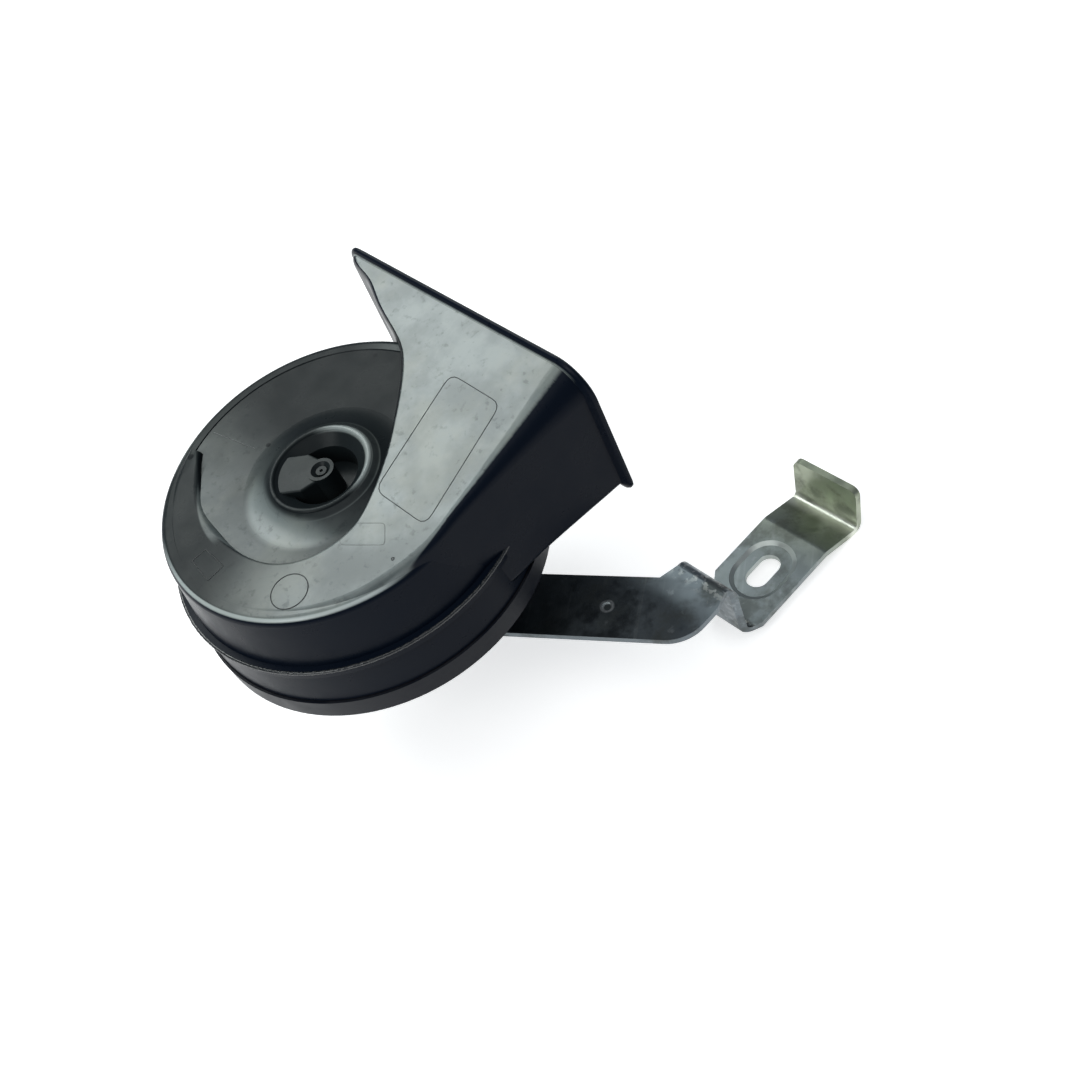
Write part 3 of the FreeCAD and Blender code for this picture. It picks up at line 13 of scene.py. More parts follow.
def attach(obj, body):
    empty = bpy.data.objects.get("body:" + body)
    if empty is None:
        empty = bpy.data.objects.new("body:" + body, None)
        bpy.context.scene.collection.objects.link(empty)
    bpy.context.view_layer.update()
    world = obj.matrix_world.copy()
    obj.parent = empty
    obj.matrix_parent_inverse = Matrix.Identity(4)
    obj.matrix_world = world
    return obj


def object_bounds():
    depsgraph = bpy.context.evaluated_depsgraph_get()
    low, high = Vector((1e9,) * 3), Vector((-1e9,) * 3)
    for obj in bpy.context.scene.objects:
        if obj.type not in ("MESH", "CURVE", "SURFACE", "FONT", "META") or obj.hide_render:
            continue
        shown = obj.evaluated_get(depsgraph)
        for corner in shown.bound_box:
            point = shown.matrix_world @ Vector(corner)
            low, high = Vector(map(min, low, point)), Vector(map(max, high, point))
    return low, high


MM = 0.001

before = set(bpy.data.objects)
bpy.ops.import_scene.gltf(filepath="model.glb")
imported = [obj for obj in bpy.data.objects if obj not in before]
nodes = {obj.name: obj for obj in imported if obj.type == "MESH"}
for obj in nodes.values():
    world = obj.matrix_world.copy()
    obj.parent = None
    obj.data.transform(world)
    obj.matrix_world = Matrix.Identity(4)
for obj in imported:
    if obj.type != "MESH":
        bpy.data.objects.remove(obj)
cad_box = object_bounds()
print("solids in the frame:", len(nodes))

# %% [markdown]
# The camera stands where the photographer stood: to the left of the bracket and above the
# horn's face, tilted sideways. Its place came from fitting the horn's round edges. It is
# written as a position, a compass angle, a downward pitch and a roll, because those can be
# read and changed one at a time. A matrix built from three directions holds all of them.

# %% Camera
CAMERA_PLACE = Vector((-0.0652, -0.2545, 0.3210))
CAMERA_COMPASS = math.radians(66.33)
CAMERA_PITCH = math.radians(50.18)
CAMERA_ROLL = math.radians(-26.65)
CAMERA_LENS = 45.87

forward = Vector((math.cos(CAMERA_COMPASS) * math.cos(CAMERA_PITCH),
                  math.sin(CAMERA_COMPASS) * math.cos(CAMERA_PITCH),
                  -math.sin(CAMERA_PITCH)))
level_right = forward.cross(Vector((0, 0, 1))).normalized()
level_up = level_right.cross(forward)
camera_right = level_right * math.cos(CAMERA_ROLL) + level_up * math.sin(CAMERA_ROLL)
camera_up = level_up * math.cos(CAMERA_ROLL) - level_right * math.sin(CAMERA_ROLL)

camera_data = bpy.data.cameras.new("camera")
camera_data.lens = CAMERA_LENS
camera_data.sensor_width = 36
camera = bpy.data.objects.new("camera", camera_data)
camera.matrix_world = Matrix((
    (camera_right.x, camera_up.x, -forward.x, CAMERA_PLACE.x),
    (camera_right.y, camera_up.y, -forward.y, CAMERA_PLACE.y),
    (camera_right.z, camera_up.z, -forward.z, CAMERA_PLACE.z),
    (0, 0, 0, 1)))
bpy.context.scene.collection.objects.link(camera)
bpy.context.scene.camera = camera
print("camera looks along", [round(value, 3) for value in forward])

# %% [markdown]
# Black plastic is seen almost only by what it mirrors, so each lamp is placed for one part of
# the horn. The window lamp stands behind it, where the sloping top of the spiral mirrors it to
# the camera, and the level parts mirror only its edge: the top turns silver and the walls stay
# nearly black. The side lamp draws the rim and the wall of the eye. The overhead lamp is wide
# and opens the shadows. Each is aimed at the horn by two angles, as a photographer walks it
# round the table.

# %% Lamps and world
HORN_MIDDLE = Vector((0.0, 0.0, 0.06))
# name, compass and height in degrees, distance, width and depth in metres, watts, colour
LAMPS = (
    ("window_lamp", 88, 48, 0.9, 0.75, 0.36, 4.5, (0.95, 1.0, 0.98)),
    ("side_lamp", 186, 42, 1.0, 0.45, 0.45, 3.0, (0.97, 1.0, 0.99)),
    ("overhead_lamp", 250, 80, 1.4, 1.2, 1.2, 5.5, (1.0, 0.99, 0.97)))
WORLD_COLOUR = (0.80, 0.88, 1.0, 1)
WORLD_STRENGTH = 0.22


def soft_lamp(name, compass, height, distance, width, depth, power, colour):
    """Area lamp aimed at the horn from a compass angle and a height angle."""
    lamp = bpy.data.lights.new(name, "AREA")
    lamp.shape = "RECTANGLE"
    lamp.size, lamp.size_y = width, depth
    lamp.energy = power
    lamp.color = colour
    holder = bpy.data.objects.new(name, lamp)
    turn, rise = math.radians(compass), math.radians(height)
    away = Vector((math.cos(turn) * math.cos(rise), math.sin(turn) * math.cos(rise),
                   math.sin(rise)))
    holder.location = HORN_MIDDLE + away * distance
    holder.rotation_mode = "QUATERNION"
    holder.rotation_quaternion = away.to_track_quat("Z", "Y")
    bpy.context.scene.collection.objects.link(holder)


for lamp_row in LAMPS:
    soft_lamp(*lamp_row)

world = bpy.data.worlds.new("studio")
bpy.context.scene.world = world
world.use_nodes = True
world_background = world.node_tree.nodes["Background"]
world_background.inputs["Color"].default_value = WORLD_COLOUR
world_background.inputs["Strength"].default_value = WORLD_STRENGTH
bpy.context.scene.view_settings.view_transform = "Standard"
print("lamps:", [item.name for item in bpy.data.lights])

# %% [markdown]
# Nodes can be wired by hand in Blender's editor, but a script can say the same in one line a
# node. `place` adds a node and links or sets its inputs, `calculate` does sums with masks, and
# `spread` is a smooth step between two values, which is how nearly every mask below begins.

# %% Helpers for nodes


def place(tree, kind, links=None, **values):
    """Add a node, set its plain settings, and link or set its inputs by name or number."""
    node = tree.nodes.new(kind)
    for label, value in values.items():
        setattr(node, label, value)
    for label, source in (links or {}).items():
        if isinstance(source, bpy.types.NodeSocket):
            tree.links.new(source, node.inputs[label])
        else:
            node.inputs[label].default_value = source
    return node


def calculate(tree, operation, first, second=0.0):
    return place(tree, "ShaderNodeMath", {0: first, 1: second}, operation=operation).outputs[0]


def times(tree, first, second):
    return calculate(tree, "MULTIPLY", first, second)


def larger(tree, first, second):
    return calculate(tree, "MAXIMUM", first, second)


def spread(tree, value, low, high, to_low=0.0, to_high=1.0):
    """Smooth step: to_low where the value is under low, to_high where it is over high."""
    return place(tree, "ShaderNodeMapRange", {
        "Value": value, "From Min": low, "From Max": high, "To Min": to_low, "To Max": to_high},
        interpolation_type="SMOOTHSTEP").outputs["Result"]


def object_place(tree):
    """Object coordinates of the surface."""
    return place(tree, "ShaderNodeTexCoord").outputs["Object"]


print("helpers for nodes are ready")

# %% [markdown]
# The floor is a plain white sheet under the lowest corner of the bracket. The camera and the
# shiny metal see it with some light of its own, so the background stays white like a
# photographer's light table, and the horn's soft shadow still darkens it where it stands.

# %% Floor
FLOOR_GAP = 0.2 * MM
FLOOR_REACH = 6.0
FLOOR_GREY = (0.86, 0.86, 0.86, 1)
FLOOR_ROUGHNESS = 0.9
FLOOR_GLOW = 0.62

floor_z = cad_box[0].z - FLOOR_GAP
floor_mesh = bpy.data.meshes.new("floor")
floor_mesh.from_pydata(
    [(-FLOOR_REACH, -FLOOR_REACH, floor_z), (FLOOR_REACH, -FLOOR_REACH, floor_z),
     (FLOOR_REACH, FLOOR_REACH, floor_z), (-FLOOR_REACH, FLOOR_REACH, floor_z)],
    [], [(0, 1, 2, 3)])
floor = bpy.data.objects.new("floor", floor_mesh)
bpy.context.scene.collection.objects.link(floor)

floor_paint = bpy.data.materials.new("floor_paint")
floor_paint.use_nodes = True
floor_tree = floor_paint.node_tree
floor_shader = floor_tree.nodes["Principled BSDF"]
floor_shader.inputs["Base Color"].default_value = FLOOR_GREY
floor_shader.inputs["Roughness"].default_value = FLOOR_ROUGHNESS
floor_shader.inputs["Specular IOR Level"].default_value = 0.0
floor_shader.inputs["Emission Color"].default_value = (1, 1, 1, 1)
ray = place(floor_tree, "ShaderNodeLightPath")
seen_directly = larger(floor_tree, ray.outputs["Is Camera Ray"], ray.outputs["Is Glossy Ray"])
seen_at_all = larger(floor_tree, seen_directly, ray.outputs["Is Transmission Ray"])
floor_tree.links.new(times(floor_tree, seen_at_all, FLOOR_GLOW),
                     floor_shader.inputs["Emission Strength"])
floor_mesh.materials.append(floor_paint)
print("floor at", round(floor_z / MM, 2), "mm")

# %% [markdown]
# Every surface needs small changes in colour and gloss, or it looks like a computer's. The
# same few effects come back in plastic, zinc and paint, so each one is a node group with named
# inputs, built once. `patches` gives a soft cloudy mask from 0 to 1: dust on plastic, stains
# on zinc. Low and High set where the clouds begin and end. `grain` gives a height for the Bump
# node: fine moulded texture, or the orange skin of paint. Object coordinates are in metres, so
# a scale of 1000 gives one spot to a millimetre.

# %% Node groups: patches and grain


def new_group(name, inputs, outputs, kind="ShaderNodeTree"):
    """Node group with inputs (name, default or socket type) and outputs (name, socket type)."""
    group = bpy.data.node_groups.new(name, kind)
    for label, default in inputs:
        if isinstance(default, str):
            group.interface.new_socket(label, in_out="INPUT", socket_type=default)
        else:
            socket = group.interface.new_socket(
                label, in_out="INPUT", socket_type="NodeSocketFloat")
            socket.default_value = default
    for label, socket_type in outputs:
        group.interface.new_socket(label, in_out="OUTPUT", socket_type=socket_type)
    return group, group.nodes.new("NodeGroupInput"), group.nodes.new("NodeGroupOutput")


def make_patches():
    group, given, result = new_group(
        "patches", (("Scale", 60.0), ("Detail", 4.0), ("Low", 0.4), ("High", 0.6)),
        (("Mask", "NodeSocketFloat"),))
    noise = place(group, "ShaderNodeTexNoise", {
        "Vector": object_place(group), "Scale": given.outputs["Scale"],
        "Detail": given.outputs["Detail"], "Roughness": 0.6})
    mask = spread(group, noise.outputs["Fac"], given.outputs["Low"], given.outputs["High"])
    group.links.new(mask, result.inputs["Mask"])
    return group


def make_grain():
    group, given, result = new_group(
        "grain", (("Scale", 900.0), ("Coarse Scale", 140.0), ("Coarse Share", 0.35)),
        (("Height", "NodeSocketFloat"),))
    where = object_place(group)
    fine = place(group, "ShaderNodeTexNoise", {
        "Vector": where, "Scale": given.outputs["Scale"], "Detail": 3.0})
    coarse = place(group, "ShaderNodeTexNoise", {
        "Vector": where, "Scale": given.outputs["Coarse Scale"], "Detail": 2.0})
    both = place(group, "ShaderNodeMix", {
        "Factor": given.outputs["Coarse Share"], "A": fine.outputs["Fac"],
        "B": coarse.outputs["Fac"]}, data_type="FLOAT")
    group.links.new(both.outputs["Result"], result.inputs["Height"])
    return group


PATCHES, GRAIN = make_patches(), make_grain()
print("node groups:", PATCHES.name, GRAIN.name)

# %% [markdown]
# `scratches` stretches noise along one direction, for the fine lines that handling leaves on
# bare metal. `spot` is a round mask at one place on the horn, seen from above. Two spots, one
# less the other, make a ring. Most of the wear and of the painted light and shade on this horn
# lie in rounds and rings about its axis, so `spot` is used more than any painted picture would
# be, and it can be moved by number.

# %% Node groups: scratches and spot


def make_scratches():
    group, given, result = new_group(
        "scratches", (("Scale", 300.0), ("Stretch", 0.04), ("Turn", 0.0), ("Sharpness", 0.62)),
        (("Mask", "NodeSocketFloat"),))
    turned = place(group, "ShaderNodeVectorRotate", {
        "Vector": object_place(group), "Angle": given.outputs["Turn"]},
        rotation_type="Z_AXIS")
    squeeze = place(group, "ShaderNodeCombineXYZ", {
        "X": given.outputs["Stretch"], "Y": 1.0, "Z": 1.0})
    stretched = place(group, "ShaderNodeVectorMath", {
        0: turned.outputs["Vector"], 1: squeeze.outputs["Vector"]}, operation="MULTIPLY")
    noise = place(group, "ShaderNodeTexNoise", {
        "Vector": stretched.outputs["Vector"], "Scale": given.outputs["Scale"], "Detail": 2.0})
    mask = spread(group, noise.outputs["Fac"], given.outputs["Sharpness"], 0.75)
    group.links.new(mask, result.inputs["Mask"])
    return group


def make_spot():
    group, given, result = new_group(
        "spot", (("X", 0.0), ("Y", 0.0), ("Radius", 0.001), ("Softness", 0.0003)),
        (("Mask", "NodeSocketFloat"),))
    middle = place(group, "ShaderNodeCombineXYZ", {
        "X": given.outputs["X"], "Y": given.outputs["Y"]})
    flat = place(group, "ShaderNodeVectorMath", {
        0: object_place(group), 1: (1.0, 1.0, 0.0)}, operation="MULTIPLY")
    away = place(group, "ShaderNodeVectorMath", {
        0: flat.outputs["Vector"], 1: middle.outputs["Vector"]}, operation="DISTANCE")
    edge = calculate(group, "ADD", given.outputs["Radius"], given.outputs["Softness"])
    mask = spread(group, away.outputs["Value"], given.outputs["Radius"], edge, 1.0, 0.0)
    group.links.new(mask, result.inputs["Mask"])
    return group


SCRATCHES, SPOT = make_scratches(), make_spot()
print("node groups:", SCRATCHES.name, SPOT.name)

# %% [markdown]
# `new_finish` starts a material: a Principled shader with its plain numbers. `use` places one
# of the groups with its own values, `mix_colour` and `mix_number` blend two values by a mask,
# and `tint` lays a share of one colour over another. `bump` turns a height into a normal. With
# these, each material is a few readable lines.

# %% Helpers for materials


def rgb(red, green, blue):
    return (red, green, blue, 1.0)


def new_finish(name, **numbers):
    """Material with a Principled shader; numbers are its sockets, with _ for a space."""
    finish = bpy.data.materials.new(name)
    finish.use_nodes = True
    shader = finish.node_tree.nodes["Principled BSDF"]
    for label, value in numbers.items():
        shader.inputs[label.replace("_", " ")].default_value = value
    return finish, finish.node_tree, shader


def use(tree, group, **values):
    """Place a node group with its own values, and give its one result."""
    node = tree.nodes.new("ShaderNodeGroup")
    node.node_tree = group
    for label, value in values.items():
        node.inputs[label.replace("_", " ")].default_value = value
    return node.outputs[0]


def mix_colour(tree, mask, low, high):
    return place(tree, "ShaderNodeMix", {0: mask, 6: low, 7: high}, data_type="RGBA").outputs[2]


def mix_number(tree, mask, low, high):
    return place(tree, "ShaderNodeMapRange", {
        "Value": mask, "To Min": low, "To Max": high}).outputs["Result"]


def tint(tree, base, mask, share, colour):
    """Lay a colour over the base where the mask is, at most for the given share."""
    return mix_colour(tree, times(tree, mask, share), base, rgb(*colour))


def bump(tree, shader, height, strength, distance):
    node = place(tree, "ShaderNodeBump", {
        "Height": height, "Strength": strength, "Distance": distance * MM})
    tree.links.new(node.outputs["Normal"], shader.inputs["Normal"])


print("helpers for materials are ready")

# %% [markdown]
# Wear and painted light follow the form: they lie on a level top, on a rim, round an eye. So a
# few more helpers ask where a point of the surface is and which way it faces. Their edges are
# in millimetres, like the drawing of the horn, and each mask can then be checked against a real
# measure.

# %% Helpers for masks


def directions(tree):
    """The x, y and height of the surface."""
    split = place(tree, "ShaderNodeSeparateXYZ", {"Vector": object_place(tree)})
    return split.outputs["X"], split.outputs["Y"], split.outputs["Z"]


def facing_up(tree):
    """1 where the surface is level, 0 on an upright wall."""
    normal = place(tree, "ShaderNodeNewGeometry").outputs["Normal"]
    return place(tree, "ShaderNodeSeparateXYZ", {"Vector": normal}).outputs["Z"]


def along(tree, x, y, x_share, y_share):
    """How far a point lies along a slanting direction of the ground plan."""
    return calculate(tree, "ADD", times(tree, x, x_share), times(tree, y, y_share))


def soft_edge(tree, value, low, high, to_low=0.0, to_high=1.0):
    """Smooth step over a length, with its two ends in millimetres."""
    return spread(tree, value, low * MM, high * MM, to_low, to_high)


def between(tree, value, rise, fall):
    """1 between two soft edges, each given by its two ends in millimetres."""
    return times(tree, soft_edge(tree, value, *rise), soft_edge(tree, value, *fall, 1.0, 0.0))


def round_mask(tree, x, y, radius, softness):
    """Mask of one round place seen from above, in millimetres."""
    return use(tree, SPOT, X=x * MM, Y=y * MM, Radius=radius * MM, Softness=softness * MM)


def ring_mask(tree, outer, inner, outer_softness, inner_softness):
    """Ring about the horn's axis, in millimetres."""
    return calculate(tree, "SUBTRACT", round_mask(tree, 0, 0, outer, outer_softness),
                     round_mask(tree, 0, 0, inner, inner_softness))


print("helpers for masks are ready")

# %% [markdown]
# The trumpet is black plastic with a satin skin. Years of handling left a grey film on its
# top, and the same grey also stands in for the lamps' silver reflection there, so the film is
# dust and painted sheen together. It is full on the sloping top of the spiral. On the level
# ring it thins out away from the bracket's side, in the dish it thins out from left to right,
# and the eye has hardly any: these fall-offs are painted shade as well as thinner dust. Past a
# slanting line, beyond the start of the spiral, ring and dish share one film. It could be
# painted by hand on an unwrapped mesh. A few smooth steps along chosen directions do the same,
# and they stay right when the shell's mesh changes.

# %% Grey film and painted sheen on the level parts
# film shares are also painted sheen: full on the ramp, falling off as painted shade across ring
# and dish
RING_SLANT, RING_EDGES, RING_FILM_AND_SHEEN = (0.35, -0.94), (-16, 22), (0.055, 0.72)
DISH_ROUND, DISH_EDGES, DISH_FILM_AND_SHEEN = (-0.40, 5.54, 31.6, 0.6), (-40, 10), (0.50, 0.02)
FAR_SLANT, FAR_EDGES = (0.866, 0.5), (-6, 4)
STEP_HEIGHTS = (74.35, 74.55)
RAMP_HEIGHTS, RAMP_FILM_AND_SHEEN = (74.8, 78.5), 1.0
EYE_ROUND, EYE_FILM_AND_SHEEN = (0, 0, 15.8, 0.8), 0.09


def film_and_sheen_on_level(tree, x, y, height, on_ramp):
    """Film and painted sheen as they would lie if every part were level: ring, dish, ramp and
    eye.
    """
    ring = soft_edge(tree, along(tree, x, y, *RING_SLANT), *RING_EDGES, *RING_FILM_AND_SHEEN)
    dish = soft_edge(tree, x, *DISH_EDGES, *DISH_FILM_AND_SHEEN)
    far_part = soft_edge(tree, along(tree, x, y, *FAR_SLANT), *FAR_EDGES)
    in_dish = larger(tree, round_mask(tree, *DISH_ROUND), far_part)
    in_dish = times(tree, in_dish, soft_edge(tree, height, *STEP_HEIGHTS, 1.0, 0.0))
    level = mix_number(tree, in_dish, ring, dish)
    raised = mix_number(tree, on_ramp, level, RAMP_FILM_AND_SHEEN)
    return mix_number(tree, round_mask(tree, *EYE_ROUND), raised, EYE_FILM_AND_SHEEN)


print("film on the ring:", RING_FILM_AND_SHEEN, "in the dish:", DISH_FILM_AND_SHEEN, "in the eye:", EYE_FILM_AND_SHEEN)

# %% [markdown]
# The film and its painted sheen lie only on the tops, so a mask takes them off where the surface
# is steep. Two low steps are exceptions, where the film is kept as painted light over their
# shaded walls: the one between the ramp and the rim near the front, and the one where the
# spiral begins. The lip round the mouth is clean and black as well, except for one thin painted
# highlight along its edge.

# %% Grey film and painted sheen by slope, and a painted highlight at the mouth
STEEP_LIMITS, LEVEL_LIMIT = (0.72, 0.90), 0.975
RIM_STEP_RING, RIM_STEP_FRONT = (45.2, 40.5, 0.4, 1.0), (-16, -10)
START_STEP_ROUND, START_STEP_LEFT = (0, 0, 40.0, 2.0), (-29, -24)
LOW_STEP_HEIGHTS, LOW_STEP_PAINTED_LIGHT = (72.2, 73.0), 0.85
SHOULDER_HEIGHTS = (66, 70)
LIP_EDGES, LIP_FILM_AND_SHEEN = (53.3, 53.6), 0.03
LIP_HIGHLIGHT_RISE, LIP_HIGHLIGHT_FALL, LIP_HIGHLIGHT_SLOPE = (53.45, 53.6), (53.7, 53.9), (0.25, 0.45)


def film_and_sheen_by_slope(tree, x, y, height, on_ramp):
    """The share of the film and painted sheen that the slope of the surface leaves, with painted
    light on two low steps.
    """
    steep_limit = mix_number(tree, on_ramp, *STEEP_LIMITS)
    on_level = spread(tree, facing_up(tree), steep_limit, LEVEL_LIMIT)
    by_rim = times(tree, ring_mask(tree, *RIM_STEP_RING),
                   soft_edge(tree, y, *RIM_STEP_FRONT, 1.0, 0.0))
    by_start = times(tree, round_mask(tree, *START_STEP_ROUND),
                     soft_edge(tree, x, *START_STEP_LEFT, 1.0, 0.0))
    # painted light over the shaded walls of the two low steps
    on_low_step = times(tree, larger(tree, by_rim, by_start),
                        soft_edge(tree, height, *LOW_STEP_HEIGHTS))
    return larger(tree, on_level, times(tree, on_low_step, LOW_STEP_PAINTED_LIGHT))


def film_and_sheen_share(tree):
    """How much grey film and painted sheen lies at each place on the trumpet, from 0 to 1, with
    a painted highlight along the lip.
    """
    x, y, height = directions(tree)
    on_ramp = soft_edge(tree, height, *RAMP_HEIGHTS)
    share = times(tree, film_and_sheen_on_level(tree, x, y, height, on_ramp),
                  film_and_sheen_by_slope(tree, x, y, height, on_ramp))
    share = times(tree, share, soft_edge(tree, height, *SHOULDER_HEIGHTS))
    share = times(tree, share, soft_edge(tree, x, *LIP_EDGES, 1.0, LIP_FILM_AND_SHEEN))
    # painted highlight: a thin bright line along the edge of the lip
    lip_highlight = times(tree, between(tree, x, LIP_HIGHLIGHT_RISE, LIP_HIGHLIGHT_FALL),
                     spread(tree, facing_up(tree), *LIP_HIGHLIGHT_SLOPE))
    clouds = use(tree, PATCHES, Scale=48.0, Detail=6.0, Low=0.36, High=0.66)
    return times(tree, larger(tree, share, lip_highlight), mix_number(tree, clouds, 0.74, 1.08))


print("film starts", SHOULDER_HEIGHTS[0], "mm above the stud's end")

# %% [markdown]
# The rim towards the bottom left and the right side of the bead round the eye get a painted
# highlight, a lighter grey on edges that handling also polishes. Each is a ring about the axis,
# cut to the part that shines and to the height of its crest.

# %% Painted highlight on the rim and the eye's bead
RIM_HIGHLIGHT_RING, RIM_HIGHLIGHT_HEIGHTS = (45.4, 44.6, 0.4, 0.4), (71.5, 72.8)
RIM_HIGHLIGHT_SLANT, RIM_HIGHLIGHT_EDGES, RIM_HIGHLIGHT_LEFT = (1.0, 1.0), (-44, -14), (-18, -6)
BEAD_HIGHLIGHT_RING, BEAD_HIGHLIGHT_HEIGHTS, BEAD_HIGHLIGHT_SHARE = (14.0, 12.2, 0.8, 0.8), (73.8, 74.6), 0.55
BEAD_HIGHLIGHT_SLANT, BEAD_HIGHLIGHT_EDGES = (1.0, -0.3), (2, 11)


def highlit_edges(tree):
    """Painted highlight on the rim towards the bottom left and on the right side of the eye's
    bead.
    """
    x, y, height = directions(tree)
    lower_left = times(
        tree, soft_edge(tree, along(tree, x, y, *RIM_HIGHLIGHT_SLANT), *RIM_HIGHLIGHT_EDGES, 1.0, 0.0),
        soft_edge(tree, x, *RIM_HIGHLIGHT_LEFT, 1.0, 0.0))
    rim = times(tree, times(tree, ring_mask(tree, *RIM_HIGHLIGHT_RING), lower_left),
                soft_edge(tree, height, *RIM_HIGHLIGHT_HEIGHTS))
    right = soft_edge(tree, along(tree, x, y, *BEAD_HIGHLIGHT_SLANT), *BEAD_HIGHLIGHT_EDGES)
    bead = times(tree, times(tree, ring_mask(tree, *BEAD_HIGHLIGHT_RING), right),
                 soft_edge(tree, height, *BEAD_HIGHLIGHT_HEIGHTS))
    return calculate(tree, "ADD", rim, times(tree, bead, BEAD_HIGHLIGHT_SHARE))


print("worn rim between radius", RIM_HIGHLIGHT_RING[1], "and", RIM_HIGHLIGHT_RING[0], "mm")

# %% [markdown]
# A few dark pits and a rough arc beside the eye break the plain dish. The pits are spots in the
# film. The arc is what lies between two rounds that aren't quite concentric: a painted
# highlight in the colour, and coarse chips in the height that catch the light.

# %% Pits, and a rough arc with a painted highlight
PITS = ((-2.3, 23.0, 0.55), (35.4, 18.9, 0.55), (-13.0, 2.6, 0.4), (-18.4, 37.4, 0.8))
PIT_SOFTNESS, PIT_FILM_AND_SHEEN = 0.3, 0.05
ARC_OUTER, ARC_INNER, ARC_LEFT = (-4.0, -1.0, 17.5, 3.0), (1.0, 0.0, 15.5, 1.5), (-17, -9)
ARC_SHEEN, ARC_RELIEF = 0.5, 2.5


def rough_arc_with_sheen(tree):
    """Mask of the rough arc to the left of the eye, which gets chips and a painted highlight."""
    x = directions(tree)[0]
    crescent = calculate(tree, "SUBTRACT", round_mask(tree, *ARC_OUTER),
                         round_mask(tree, *ARC_INNER))
    return times(tree, crescent, soft_edge(tree, x, *ARC_LEFT, 1.0, 0.0))


def with_pits(tree, film_and_sheen):
    """The film and its painted sheen, with a hole in it at each pit."""
    for pit_x, pit_y, radius in PITS:
        pit = round_mask(tree, pit_x, pit_y, radius, PIT_SOFTNESS)
        film_and_sheen = times(tree, film_and_sheen, mix_number(tree, pit, 1.0, PIT_FILM_AND_SHEEN))
    return film_and_sheen


print("pits:", len(PITS))

# %% [markdown]
# The whole plastic is one material. Under the film it is navy black on the walls and neutral
# black on the round face. The film and its painted sheen lighten it, a warm tint drifts through
# the film, and the painted highlights on the edges are lighter still. The deep floor of the eye
# gets a little painted light, so that its shade is not black. The coat's weight follows the
# film, so silver parts are also the glossy ones, and clean walls stay satin. One material on
# both shells keeps their colours alike where they meet at the weld.

# %% Trumpet plastic
WALL_BLACK, FACE_BLACK = rgb(0.0042, 0.0074, 0.0146), rgb(0.0055, 0.0082, 0.0098)
# grey of the film and its painted sheen, and grey of the painted edge highlight
FILM_AND_SHEEN_GREY, FILM_WARM, HIGHLIGHT_GREY = (
    rgb(0.216, 0.254, 0.249), (0.245, 0.262, 0.215), (0.52, 0.58, 0.57))
FACE_ROUND, FACE_HEIGHTS = (0, 0, 44.5, 1.0), (64, 67)
EYE_HEIGHTS, EYE_FLOOR_PAINTED_LIGHT = (67.5, 74.0), (0.035, 0.022)


def make_trumpet_plastic():
    finish, tree, shader = new_finish(
        "trumpet_plastic", IOR=1.5, Specular_IOR_Level=0.07, Coat_Roughness=0.28, Coat_IOR=1.5)
    height = directions(tree)[2]
    arc = rough_arc_with_sheen(tree)
    # film with its painted sheen, plus a painted highlight on the rough arc
    film_and_sheen = calculate(tree, "ADD", film_and_sheen_share(tree), times(tree, arc, ARC_SHEEN))
    fine_dirt = use(tree, PATCHES, Scale=420.0, Detail=6.0, Low=0.56, High=0.70)
    film_and_sheen = with_pits(tree, times(tree, film_and_sheen, mix_number(tree, fine_dirt, 1.0, 0.72)))
    # painted light on the deep floor of the eye, which lies in shade
    eye_floor_painted_light = times(tree, round_mask(tree, *EYE_ROUND),
                        soft_edge(tree, height, *EYE_HEIGHTS, *EYE_FLOOR_PAINTED_LIGHT))
    # painted highlight on the rim and on the eye's bead
    highlit = highlit_edges(tree)
    film_and_sheen = larger(tree, larger(tree, film_and_sheen, eye_floor_painted_light), highlit)
    face = times(tree, soft_edge(tree, height, *FACE_HEIGHTS), round_mask(tree, *FACE_ROUND))
    colour = mix_colour(tree, film_and_sheen, mix_colour(tree, face, WALL_BLACK, FACE_BLACK), FILM_AND_SHEEN_GREY)
    drift = use(tree, PATCHES, Scale=38.0, Detail=5.0, Low=0.42, High=0.62)
    colour = tint(tree, colour, times(tree, drift, film_and_sheen), 0.5, FILM_WARM)
    colour = tint(tree, colour, highlit, 0.55, HIGHLIGHT_GREY)
    tree.links.new(colour, shader.inputs["Base Color"])
    tree.links.new(film_and_sheen, shader.inputs["Coat Weight"])
    rough = use(tree, PATCHES, Scale=120.0, Low=0.35, High=0.7)
    tree.links.new(mix_number(tree, rough, 0.27, 0.36), shader.inputs["Roughness"])
    skin = use(tree, GRAIN, Scale=1400.0, Coarse_Scale=260.0)
    chips = use(tree, PATCHES, Scale=1500.0, Detail=2.0, Low=0.55, High=0.75)
    relief = calculate(tree, "ADD", skin, times(tree, times(tree, chips, arc), ARC_RELIEF))
    bump(tree, shader, relief, 0.2, 0.06)
    return finish


def dress(finish, *names):
    """Put a material on solids of the frame."""
    for name in names:
        nodes[name].data.materials.clear()
        nodes[name].data.materials.append(finish)


trumpet_plastic = make_trumpet_plastic()
dress(trumpet_plastic, "trumpet_front_shell", "trumpet_rear_shell")
print("trumpet:", trumpet_plastic.name, "with", len(trumpet_plastic.node_tree.nodes), "nodes")

# %% [markdown]
# The bracket is steel with zinc plating. It is nearly black beside the horn, blue grey on the
# flat plate, and olive towards its end tab. Its crest, where the strip drops, is chipped and
# grimy. The fold at its tail, the wall of the pressed oval and a ring round the small dimple on
# the arm get a painted highlight in the colour. Each is a mask by place, and each tint is laid
# over the one before: dirt and wear in layers, then the painted highlights.

